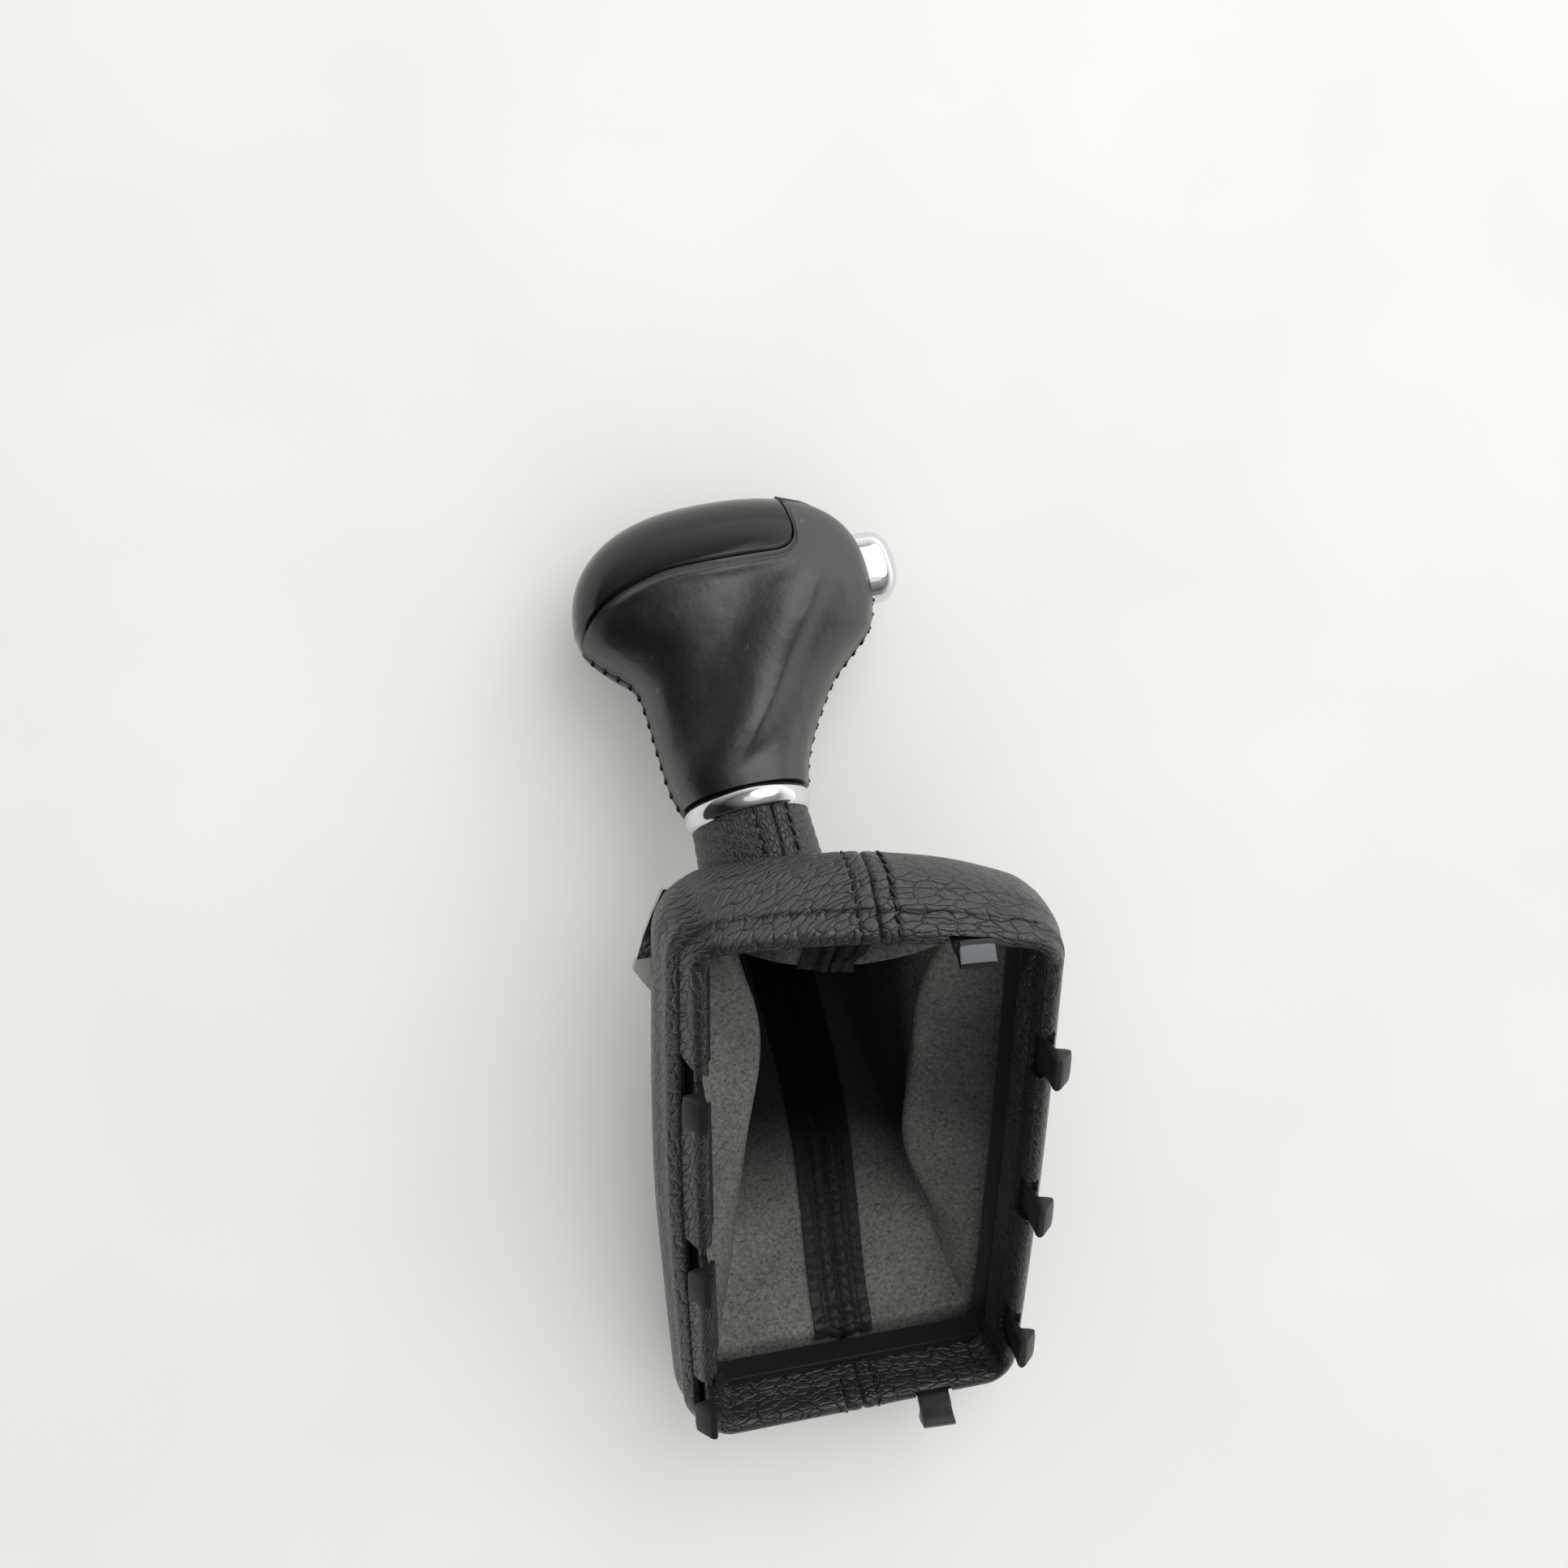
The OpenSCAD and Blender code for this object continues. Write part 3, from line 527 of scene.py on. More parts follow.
# %% Suede
def suede():
    """The flesh side of the hide: a grey nap, mottled, with dark flecks about a millimetre long. Inside the
    boot, near the lever, it is painted black as shade: an attribute of the piece carries how far it is
    unshaded."""
    material, tree, shader = new_material("suede_flesh_side", {"Roughness": 0.95, "Specular IOR Level": 0.1})
    place = place_of(tree)
    fleck = noise(tree, place, 900.0, 4.0, Roughness=0.75)
    spots = ramp(tree, fleck, [(0.33, colour("#4c4c4a")), (0.43, colour("#7c7c78")),
        (0.58, colour("#91918b")), (0.72, colour("#aeaea6"))])
    shade = ramp(tree, noise(tree, place, 55.0, 4.0), [(0.3, grey(0.7)), (0.7, grey(1.0))])
    mottled = mix(tree, 1.0, spots, shade, blend_type="MULTIPLY")
    unshaded = add(tree, "ShaderNodeAttribute", attribute_name="unshaded").outputs["Fac"]
    # 0b0b0b is painted shade: the suede goes towards it where the attribute falls.
    fill(tree, shader, {"Base Color": mix(tree, unshaded, colour("#0b0b0b"), mottled),
        "Normal": bump(tree, fleck, 0.5, 0.0004)})
    return material


# %% Seam tape
def seam_tape():
    """Coated fabric tape, black. Like the suede round it, it is painted darker as shade near the lever, and
    its shine fades there too.
    """
    material, tree, shader = new_material("coated_seam_tape", {"Roughness": 0.5})
    weave = noise(tree, place_of(tree), 900.0, 3.0)
    cloth = ramp(tree, weave, [(0.4, colour("#232324")), (0.7, colour("#383838"))])
    unshaded = add(tree, "ShaderNodeAttribute", attribute_name="unshaded").outputs["Fac"]
    # 070707 is painted shade, and the specular level falls with the same painted shade.
    fill(tree, shader, {"Base Color": mix(tree, unshaded, colour("#070707"), cloth),
        "Specular IOR Level": maths(tree, "MULTIPLY", unshaded, 0.45),
        "Normal": bump(tree, weave, 0.5, 0.0002)})
    return material


# %% [markdown]
# Plastics, chrome, thread
#
# The cap is moulded in black and polished, so only its reflections show: piano black. The frame
# is moulded ABS with a fine grain. Chrome plate on the button and ring is a mirror with a trace
# of wear. The thread is a bonded polyester, nearly black, with a twist that shows as a shine.


# %% Plastics and metals
def gloss_black():
    """Polished black plastic: a low base colour and a low roughness, with hair-fine rub marks."""
    material, tree, shader = new_material("piano_black_plastic",
        {"Base Color": colour("#0a0a0b"), "Roughness": 0.2, "IOR": 1.5})
    rub = noise(tree, place_of(tree), 90.0, 6.0)
    fill(tree, shader, {"Roughness": ramp(tree, rub, [(0.4, grey(0.14)), (0.75, grey(0.22))])})
    return material


def moulded_plastic(name, code, roughness, grain=2600.0, strength=0.25):
    """Moulded plastic with a spark-eroded grain: a fine even noise in the bump."""
    material, tree, shader = new_material(name,
        {"Base Color": colour(code), "Roughness": roughness, "Specular IOR Level": 0.4})
    fill(tree, shader, {"Normal": bump(tree, noise(tree, place_of(tree), grain, 2.0), strength, 0.00012)})
    return material


def metal(name, code, roughness, brush=0.0):
    """Metal: the colour is the reflection's, and brushing stretches its roughness noise."""
    material, tree, shader = new_material(name,
        {"Base Color": colour(code), "Metallic": 1.0, "Roughness": roughness})
    drawn = add(tree, "ShaderNodeMapping", {"Vector": place_of(tree), "Scale": (1, 1, 1 + 8 * brush)})
    rub = noise(tree, drawn.outputs[0], 300.0, 5.0)
    shine = ramp(tree, rub, [(0.35, grey(roughness)), (0.8, grey(roughness + 0.08))])
    fill(tree, shader, {"Roughness": shine})
    return material


def sewing_thread():
    """Bonded thread: dark, with a little sheen along its lay."""
    material, tree, shader = new_material("bonded_sewing_thread", {"Roughness": 0.45})
    twist = noise(tree, place_of(tree), 2500.0, 1.0)
    tint = ramp(tree, twist, [(0.4, colour("#08080a")), (0.7, colour("#1a1a1c"))])
    fill(tree, shader, {"Base Color": tint})
    return material


KNOB_LEATHER = knob_leather()
BOOT_LEATHER = boot_leather()
SUEDE = suede()
TAPE = seam_tape()
CAP_GLOSS = gloss_black()
FRAME_ABS = moulded_plastic("grained_black_abs", "#242426", 0.36)
# Pale suede, painted paler than the suede inside the boot as the light falling on the ear's upturned face.
PALE_SUEDE_AND_PAINTED_LIGHT = moulded_plastic("pale_suede_and_painted_light", "#c4c3bb", 0.9, grain=700.0, strength=0.6)
# Its pale colour is a painted highlight: the light on the far clip's upturned ramp face.
HIGHLIGHT_PAINTED_ABS = moulded_plastic("black_abs_painted_highlight", "#777a7d", 0.5, grain=1500.0, strength=0.6)
CORE_PLASTIC = moulded_plastic("glass_filled_nylon", "#202022", 0.5)
SLIDE_PLASTIC = moulded_plastic("natural_acetal", "#cfcabb", 0.4)
CHROME = metal("chrome_plate", "#dfe0e2", 0.05)
ZINC_STEEL = metal("zinc_plated_steel", "#b4b3ae", 0.28, brush=1.0)
SPRING_WIRE = metal("bright_spring_wire", "#9fa0a2", 0.25)
THREAD = sewing_thread()

CAD_FINISH = {"knob_core": CORE_PLASTIC, "lever_sleeve": ZINC_STEEL, "mechanism_cover": CORE_PLASTIC,
    "cover_screw_1": ZINC_STEEL, "cover_screw_2": ZINC_STEEL, "cover_screw_3": ZINC_STEEL,
    "button_slider": SLIDE_PLASTIC, "plunger": SLIDE_PLASTIC,
    "boot_collar": FRAME_ABS}
for name, material in CAD_FINISH.items():
    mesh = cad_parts[name].data
    mesh.materials.clear()
    mesh.materials.append(material)
print("finished", len(CAD_FINISH), "pieces of the solid model")

# %% [markdown]
# Knob head
#
# The head is a squashed, lopsided bulb. Its two sides and its front each follow a smooth curve
# from the ring to the widest place, and above it they close as a superellipse, which is an
# ellipse with another power than 2. A section across the lever is a superellipse too. A place
# on the skin is an angle round the lever and a rise from the ring, 0, to the crown, 1.

# %% Knob shape
RING_Z, RING_H, RING_R = 19.0, 6.2, 17.25
LEATHER_Z = RING_Z + RING_H
HEAD_RIGHT, HEAD_LEFT, HEAD_HALF, HEAD_Z, TOP_Z = 48.8, 35.2, 24.0, 80.0, 110.0
CROWN_X = 3.0
RIGHT_SHAPE = [(0, 0), (0.13, 0.06), (0.27, 0.175), (0.39, 0.3), (0.53, 0.473), (0.67, 0.737),
    (0.745, 0.873), (0.89, 0.975), (1, 1)]
LEFT_SHAPE = [(0, 0), (0.11, 0.09), (0.29, 0.14), (0.5, 0.18), (0.63, 0.235), (0.71, 0.375),
    (0.78, 0.61), (0.89, 0.894), (1, 1)]
HALF_SHAPE = [(0, 0), (0.27, 0.07), (0.54, 0.33), (0.73, 0.67), (0.9, 0.94), (1, 1)]
SECTION_POWER, CROWN_POWER, BUTTON_SIDE_POWER = 2.25, 2.2, 2.7
LOW_SHARE, WIDEST_RISE = 0.5, 0.45
CREST_HIGH, CREST_STEEP, CREST_SOFT = 2.7, 4.2, 14.0
CREST = [(25, -7), (28, -5.6), (36, 2.0), (46, 10.0), (58, 18), (70, 26.4), (78, 31.4), (90, 34.5)]


def side_reach(shape, reach, u):
    """Reach of a side: from the ring's radius to its full reach, by a share that the curve gives."""
    return RING_R + (reach - RING_R) * curve(shape, u)


def signed_power(value, power):
    """A power of the value's size, with the value's sign."""
    return np.sign(value) * np.abs(value) ** power


def dome(t, power):
    """Superellipse: the power-th root of 1 minus t to that power."""
    return np.maximum(1 - t**power, 0) ** (1 / power)


def knob_skin(angle, rise):
    """Points of the head for an angle round the lever, in radians, and a rise from 0 to 1."""
    u = np.clip(rise / LOW_SHARE, 0, 1)
    t = np.sin(np.clip((rise - LOW_SHARE) / (1 - LOW_SHARE), 0, 1) * np.pi / 2)
    low = rise < LOW_SHARE
    right = np.where(low, side_reach(RIGHT_SHAPE, HEAD_RIGHT, u),
        (HEAD_RIGHT - CROWN_X) * dome(t, BUTTON_SIDE_POWER) + CROWN_X)
    left = np.where(low, side_reach(LEFT_SHAPE, HEAD_LEFT, u),
        (HEAD_LEFT + CROWN_X) * dome(t, CROWN_POWER) - CROWN_X)
    half = np.where(low, side_reach(HALF_SHAPE, HEAD_HALF, u), HEAD_HALF * dome(t, CROWN_POWER))
    z = np.where(low, LEATHER_Z + (HEAD_Z - LEATHER_Z) * u, HEAD_Z + (TOP_Z - HEAD_Z) * t)
    x = (right - left) / 2 + (right + left) / 2 * signed_power(np.cos(angle), 2 / SECTION_POWER)
    y = half * signed_power(np.sin(angle), 2 / SECTION_POWER)
    x, y = add_crest(x, y, z, half)
    return stack(x, y, z)


def add_crest(x, y, z, half):
    """A soft edge that runs up the front and the back of the grip, from the ring to under the button. It
    falls steeply towards the button and softly away from it, where a faint hollow follows."""
    away = x - curve(CREST, z)
    height = CREST_HIGH * smoothstep(26, 42, z) * (1 - smoothstep(74, 92, z))
    crest = np.where(away > 0, bell(away, CREST_STEEP), bell(away, CREST_SOFT))
    facing = np.clip(np.abs(y) / half, 0, 1) ** 2
    return x, y + np.sign(y) * height * facing * (crest - 0.35 * bell(away + 20, 9))


# %% [markdown]
# Parting line
#
# Leather and cap meet on one line. Seen from the front it rises from the far side, runs straight
# below the cap, and turns up before the button. Both skins end on that line, so for every angle
# the rise at which the skin crosses it is looked up first.

# %% Parting line
PARTING = [(-60, 68), (-40, 71.5), (-35.2, 73.9), (-32.2, 77.4), (-26.2, 81.2), (-18.2, 83.8), (-9.2, 85.3),
    (0, 85.3), (60, 85.3)]
PARTING_X, PARTING_CORNER = 27.5, 8.0
PARTING_GAP = 0.35


def over_parting(points):
    """Positive where a point belongs to the cap: the smaller of two distances, blended at their corner."""
    a = PARTING_X - points[..., 0]
    b = points[..., 2] - curve(PARTING, points[..., 0])
    soft = np.clip(0.5 + (b - a) / (2 * PARTING_CORNER), 0, 1)
    return b * (1 - soft) + a * soft - PARTING_CORNER * soft * (1 - soft)


def parting_rise(angles, level):
    """For each angle, the rise at which the skin reaches a level of over_parting, by a fine search."""
    rises = np.linspace(0.3, 0.9995, 2400)[:, None]
    value = over_parting(knob_skin(angles[None, :], rises)) - level
    # The crossing lies between the last rise below the level and the first one over it
    first = np.argmax(value > 0, axis=0)
    columns = np.arange(len(angles))
    low, high = value[first - 1, columns], value[first, columns]
    return rises[first - 1, 0] + (rises[1, 0] - rises[0, 0]) * (-low / (high - low))


def even_angles(start, stop, count):
    """Angles whose points are evenly spaced round the widest section of the head."""
    fine = np.linspace(start, stop, 4000)
    length = run_length(knob_skin(fine, np.full(len(fine), WIDEST_RISE))[None], axis=1)[0]
    return np.interp(np.linspace(0, length[-1], count), length, fine)


# %% [markdown]
# Grip leather
#
# Two panels, front and back, are sewn together along both sides. Near the parting line the
# leather swells over the edge of the core and rolls under, which is the soft second line below
# the cap. At the side seams it dips to the stitches.

# %% Grip leather panels
SKIN_T = 1.08


def relief(skin):
    """How far the grip leather stands out: a swell below the parting line and a dip at each side seam."""
    below = run_length(skin, 0)
    below = below[-1:] - below
    x = skin[..., 0]
    reach = smoothstep(-30, -12, x) * (1 - smoothstep(24, 31, x))
    swell = 0.75 * reach * (bell(below - 3.2, 1.7) - 0.7 * bell(below - 0.6, 1.2))
    apart = from_sides(skin)
    dip = -0.75 * bell(apart, 0.7) + 0.3 * bell(apart - 2.2, 1.1)
    return swell + dip * (1 - smoothstep(0.62, 0.7, skin[..., 2] / TOP_Z) * (x > 0))


def rolled(points, normals, depths, at_end):
    """Adds rows that roll inwards from the last or first row of a grid."""
    edge, out = (points[-1], normals[-1]) if at_end else (points[0], normals[0])
    rows = np.array([edge - out * depth for depth in depths])
    return np.concatenate([points, rows]) if at_end else np.concatenate([rows[::-1], points])


def grip_panel(start, stop):
    """One leather panel between two angles, as a shell with its edges rolled under."""
    angles = even_angles(start, stop, 190)
    share = np.linspace(0, 1, 170)[:, None] ** 0.97
    skin = knob_skin(angles[None, :], share * parting_rise(angles, 0.0)[None, :])
    out = grid_normals(skin)
    skin = skin + out * relief(skin)[..., None]
    out = grid_normals(skin)
    skin = rolled(skin, out, (0.12, 0.4, 0.8), at_end=True)
    skin = rolled(skin, out, (0.15, 0.5, 0.9), at_end=False)
    out = grid_normals(skin)
    out[-3:] = out[-4]
    out[:3] = out[3]
    return skin, skin - out * SKIN_T


GRIP_PANELS = []
for name, node, start, stop in (("grip_front", "knob_leather_front", np.pi, 2 * np.pi),
        ("grip_back", "knob_leather_rear", 0, np.pi)):
    outer, inner = grip_panel(start, stop)
    GRIP_PANELS.append(outer)
    points, faces, _ = shell(from_knob(outer), from_knob(inner))
    piece = make_piece(name, points, faces, [KNOB_LEATHER])
    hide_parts(node)

# %% [markdown]
# Cap
#
# The same skin above the parting line, in polished plastic. Its edge is rounded by about half a
# millimetre and catches the light as a thin pale line.

# %% Gloss cap
CAP_T = 2.2
BEVEL_W, BEVEL_H = 1.3, 0.55


def cap_skin():
    """The head from the parting line to the crown, its edge rolled inwards, all round the lever."""
    angles = even_angles(0, 2 * np.pi, 341)[:-1]
    start = parting_rise(angles, PARTING_GAP)[None, :]
    share = np.linspace(0, 1, 120)[:, None] ** 1.5
    skin = knob_skin(angles[None, :], start + (0.9999 - start) * share)
    out = grid_normals(skin, closed=True)
    out[-1] = (0, 0, 1)
    bevel = BEVEL_H * np.maximum(1 - run_length(skin, 0) / BEVEL_W, 0) ** 2
    skin = skin - out * bevel[..., None]
    skin = rolled(skin, out, (0.1, 0.32, 0.7, 1.6), at_end=False)
    out = np.concatenate([np.repeat(out[:1], 4, axis=0), out])
    # The wall is thin at its edge and has its full thickness a few rows on
    return skin, skin - out * np.minimum(np.linspace(0.4, 40, len(skin)), CAP_T)[:, None, None]


outer, inner = cap_skin()
points, faces, _ = shell(from_knob(outer), from_knob(inner), closed=True)
cap = make_piece("gloss_cap", points, faces, [CAP_GLOSS], sharp=70)
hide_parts("top_cap")

# %% [markdown]
# Ring and button
#
# The ring is a profile turned round the lever, as on a lathe. The button is an upright oval that
# closes at its outer end like a pebble. Chrome shows every flat in a mesh, so both have fine grids.

# %% Chrome ring
NECK_R = 12.0
SKIRT_R = 15.85


def ring_profile():
    """Half section of the ring: a barrel outside with rounded corners, a step inside for the boot neck."""
    t = np.linspace(-1, 1, 25)
    barrel = np.column_stack([RING_R - 1.0 * t**2 - 0.4 * np.abs(t)**9, RING_Z + RING_H * (t + 1) / 2])
    inner = [(NECK_R + 0.2, RING_Z + RING_H - 0.05), (NECK_R + 0.2, RING_Z + 2.9), (SKIRT_R, RING_Z + 2.8),
        (SKIRT_R, RING_Z + 0.2)]
    return np.concatenate([barrel, inner])


def turned_profile(profile, count):
    """A closed profile of radius and height, carried round the lever axis."""
    angle = np.linspace(0, 2 * np.pi, count, endpoint=False)[None, :]
    return stack(profile[:, :1] * np.cos(angle), profile[:, :1] * np.sin(angle), profile[:, 1:])


def tube_faces(rows, cols):
    """Faces of a grid that closes on itself both ways."""
    index = np.arange(rows * cols).reshape(rows, cols)
    down, right = np.roll(index, -1, axis=0), np.roll(index, -1, axis=1)
    return np.stack([index, right, np.roll(down, -1, axis=1), down], axis=-1).reshape(-1, 4)


grid = turned_profile(ring_profile(), 192)
ring = make_piece("chrome_ring_skin", from_knob(grid).reshape(-1, 3), tube_faces(*grid.shape[:2]), [CHROME],
    sharp=40)
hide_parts("chrome_ring")

# %% Chrome button
BUTTON_W, BUTTON_H, BUTTON_Z = 14.0, 20.6, 84.5
BUTTON_ROOT, BUTTON_TIP = HEAD_RIGHT - 6, HEAD_RIGHT + 8.5
BUTTON_END = 7.0
BUTTON_POWER, BUTTON_END_POWER = 2.6, 2.3
HOLLOW_DEEP, HOLLOW_WIDE = 0.9, 0.85


def button_skin():
    """Sections are superellipses, and over the last 7 mm they shrink as another superellipse."""
    angle = np.linspace(0, 2 * np.pi, 128, endpoint=False)[None, :]
    body = np.linspace(BUTTON_ROOT, BUTTON_TIP - BUTTON_END, 12)[:-1]
    turn = np.linspace(0, np.pi / 2, 40)
    x = np.concatenate([body, BUTTON_TIP - BUTTON_END + BUTTON_END * np.sin(turn)])[:, None]
    end = dome(np.minimum(np.sin(turn), 0.99999), BUTTON_END_POWER)
    size = np.concatenate([np.ones(len(body)), end])[:, None]
    y = BUTTON_W / 2 * size * signed_power(np.cos(angle), 2 / BUTTON_POWER)
    z = BUTTON_Z + BUTTON_H / 2 * size * signed_power(np.sin(angle), 2 / BUTTON_POWER)
    return stack(x, y, z)


skin = button_skin()
hollow = skin.copy()
hollow[..., 0] = BUTTON_ROOT + HOLLOW_DEEP * (hollow[..., 0] - BUTTON_ROOT)
hollow[..., 1:] = HOLLOW_WIDE * (hollow[..., 1:] - [0, BUTTON_Z]) + [0, BUTTON_Z]
points, faces, _ = shell(from_knob(skin), from_knob(hollow), closed=True)
button = make_piece("chrome_button", points, faces, [CHROME], body="button", sharp=60)
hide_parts("release_button")

# %% [markdown]
# Return spring
#
# Inside the head a spring pushes the button out. Its wire is swept along a helix.

# %% Return spring
SPRING_FIRST, SPRING_LAST, SPRING_Z = -16.4, 13.6, 82.0
SPRING_R, SPRING_WIRE_R, SPRING_TURNS = 2.2, 0.3, 9


def spring_skin():
    """A helix about the button's line of travel, with eight points round the wire."""
    along = np.linspace(0, 2 * np.pi * SPRING_TURNS, 24 * SPRING_TURNS + 1)[:, None]
    around = np.radians(45 * np.arange(8))[None, :]
    reach = SPRING_R + SPRING_WIRE_R * np.cos(around)
    x = SPRING_FIRST + (SPRING_LAST - SPRING_FIRST) * along / along[-1] - SPRING_WIRE_R * np.sin(around)
    return stack(x, reach * np.cos(along), SPRING_Z + reach * np.sin(along))


skin = spring_skin()
rows, sides = skin.shape[:2]
wire_faces = grid_quads(rows, sides, closed=True).reshape(-1, 4)
wire_end = np.array([[3, 2, 1, 0], [5, 4, 3, 0], [7, 6, 5, 0]])
faces = np.concatenate([wire_faces, wire_end, sides * (rows - 1) + wire_end[:, ::-1]])
spring = make_piece("return_spring", from_knob(skin).reshape(-1, 3), faces, [SPRING_WIRE])
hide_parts("button_spring")
spring_seat = from_knob([SPRING_FIRST - SPRING_WIRE_R, 0, SPRING_Z]) * MM
tuple(from_knob([1, 0, 0]))
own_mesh(spring)

# %% [markdown]
# Boot frame line
#
# Everything on the boot follows the frame's rim, a rounded rectangle. A place on it is a share v
# of one turn, from the middle of the far end, and how far outside the rim line it lies. The real
# frame is worn: it is a little twisted, its sides and its far end bow outwards, and the padded
# band round it is pressed flat on the button side.

# %% Rim line
RIM_R, TUCK = 7.0, 3.3
SIDE_BOW, END_BOW, END_SKEW, RIM_TAPER, RIM_TWIST = 1.0, 3.4, 1.6, 0.012, 3.2
BAND_DEPTH, BAND_OUT, BOOT_T = 26.0, 7.6, 1.3
FULLNESS = [(0, 1), (0.045, 0.92), (0.09, 0.5), (0.13, 0.3), (0.25, 0.4), (0.4, 0.5), (0.5, 0.8),
    (0.6, 0.72), (0.67, 0.85), (0.75, 1.02), (0.9, 0.85), (1, 1)]
BAND = BAND_OUT + BOOT_T + 0.4
BAND_SKIN = BAND - BAND_OUT


def rim_size(out):
    """Half width, half length, corner radius and quarter length of the rim line, moved outwards."""
    a = RIM_W / 2 + out
    b = RIM_L / 2 + np.maximum(out, 0.5 * (out - TUCK))
    r = np.maximum(RIM_R + out, 3)
    return a, b, r, a - r + np.pi * r / 2 + b - r


def warp(x, y, z):
    """The worn frame: the sides bow by 1 - y squared, the far end by 1 - x squared, opposite corners lift."""
    p, q = 2 * x / RIM_W, 2 * y / RIM_L
    end = np.maximum(q, 0) ** 3
    return stack(x * (1 + RIM_TAPER * q) + SIDE_BOW * p * np.maximum(1 - q**2, 0),
        y + end * (END_BOW * np.maximum(1 - p**2, 0) - END_SKEW * p), z + RIM_TWIST * p * q)


def rim_point(v, reach, z, skin=0.0):
    """A point by the rim: v runs once round it, reach is how far outside it, z the height over it.
    Past 1 mm the reach is padding, of which FULLNESS gives a share; a skin keeps its thickness."""
    v, reach, z = np.broadcast_arrays(np.asarray(v, float), np.asarray(reach, float), np.asarray(z, float))
    w = v - np.floor(v)
    out = reach - np.maximum(reach - skin - 1, 0) * (1 - curve(FULLNESS, w))
    a, b, r, quarter = rim_size(out)
    fold = np.where(w <= 0.5, w, 1 - w)
    near = fold > 0.25
    d = 4 * quarter * np.where(near, 0.5 - fold, fold)
    arc = np.pi * r / 2
    turn = np.clip((d - a + r) / r, 0, np.pi / 2)
    x = np.where(d < a - r, d, a - r + r * np.sin(turn))
    y = np.where(d < a - r + arc, b - r + r * np.cos(turn), b - r - (d - a + r - arc))
    return warp(np.where(w <= 0.5, x, -x), np.where(near, -y, y), z)


def rim_share(x_side, y):
    """The share v of the rim line's turn at a place y along one of its long sides."""
    a, b, r, quarter = rim_size(0.0)
    d = a - r + np.pi * r / 2 + b - r - y
    v = d / (4 * quarter)
    return v if x_side > 0 else 1 - v


# %% [markdown]
# Boot
#
# The boot is one sleeve of leather. It starts under the chrome ring, goes down the neck, widens
# and sags over the table, turns round the band of the frame, over the rim and a little way down
# inside. Rows of control points say this, and a smooth curve through them gives the fine rows.

# %% Boot shape
COLLAR_TOP, NECK_IN_R, NECK_FLARE, FLARE_Z = 21.2, 15.6, 0.8, 7.5
NECK_SEAM, SEAM_TURN = 15.0, 24.0
LEAST_RUN, BELLY, SIDE_FALL, TABLE_TOUCH = 30.0, 8.0, 12.0, -48.0
FOLD_LEFT, FOLD_RIGHT, FOLD_AT, FOLD_W = 11.0, 16.0, 0.85, 0.075
FLOOR_SLIDE, FOLD_LOW = 5.0, 0.85
FOLD_FAR = (-9.0, -24.0, 0.0)
SIDE_FALL_RIGHT = 8.0
FOLD_BACK = BAND_DEPTH + 3.7
WRAP = [(-3.4, 1.2 - FOLD_BACK), (0, 1.4 - FOLD_BACK), (5, 1.7 - FOLD_BACK), (BAND - 0.9, 4.5 - FOLD_BACK),
    (BAND, 8 - FOLD_BACK), (BAND, -17), (BAND - 0.8, -12.4), (6.4, -8.8), (4.6, -4.9), (2.9, -3.7),
    (1.2, -0.3), (-0.8, 0.9), (-2.5, 0.1), (-3.1, -2.6), (-3.3, -6)]
OPEN_START, OPEN_ROWS = 2, 10
WRAP_START = OPEN_START + OPEN_ROWS
FLAP_ROWS = 4


def neck_point(v, radius, z, turn=0.0):
    """A point of the leather round the neck. The seam lies a little towards the button side."""
    seam_side = (1 + np.cos(2 * np.pi * v)) / 2
    angle = 2 * np.pi * v + np.radians(NECK_SEAM - turn) * seam_side
    return from_knob(stack(radius * np.sin(angle), -radius * np.cos(angle), z))


def open_boot(v, t):
    """A cubic from the neck to the back of the frame: it leaves along the lever and arrives along the frame.
    On top of it come the sag of the belly, the inward fall of both sides, a fold down each side and the
    shelf that the leather makes below the far rim. Each is a bell or a power of t, with its peak at 1."""
    v, t = np.broadcast_arrays(v, t)
    start = neck_point(v, NECK_IN_R + NECK_FLARE, FLARE_Z, SEAM_TURN * 16 * (t * (1 - t)) ** 2)
    end = from_frame(rim_point(v, -5, -FOLD_BACK))
    far = np.linalg.norm(end - start, axis=-1)[..., None]
    low = ((1 - np.cos(2 * np.pi * v)) / 2)[..., None]
    side = (np.sin(2 * np.pi * v) ** 2 * np.sign(np.sin(2 * np.pi * v)))[..., None]
    t = t[..., None]
    down = from_knob(np.array([0, 0, -1.0]))
    out = turned(np.array([0, 0, 1.0]), FRAME_RISE, 1, 2)
    leave = down * np.maximum(0.38 * far, LEAST_RUN)
    arrive = out * (0.5 - 0.3 * low) * far
    line = cubic(start, end, leave, arrive, t)
    apart = np.minimum(v, 1 - v)[..., None]
    upper, lower = bell(apart - 0.17, 0.09), bell(apart - 0.29, 0.06)
    folded = bell(t - FOLD_AT, FOLD_W)
    fold = folded * np.where(side > 0, FOLD_RIGHT * (upper + FOLD_LOW * lower), -FOLD_LEFT * upper)
    slide = FLOOR_SLIDE * low ** 6 * bell(t - 0.5, 0.28)
    fall = np.where(side > 0, SIDE_FALL_RIGHT, SIDE_FALL)
    inwards = np.array([1.0, 0, 0]) * (fall * side * 6.75 * t * t * (1 - t) + fold - slide)
    shelf = np.array(FOLD_FAR) * bell(apart, 0.115) * folded
    return line - out * BELLY * low * np.sin(np.pi * t) - inwards + shelf


def ragged(v, seed):
    """An uneven edge between -1 and 1: three waves whose lengths don't fit each other."""
    turn = 2 * np.pi * v
    return (np.sin(61 * turn + seed) + 0.7 * np.sin(103 * turn + 2 * seed) + 0.6 * np.sin(173 * turn)) / 2.3


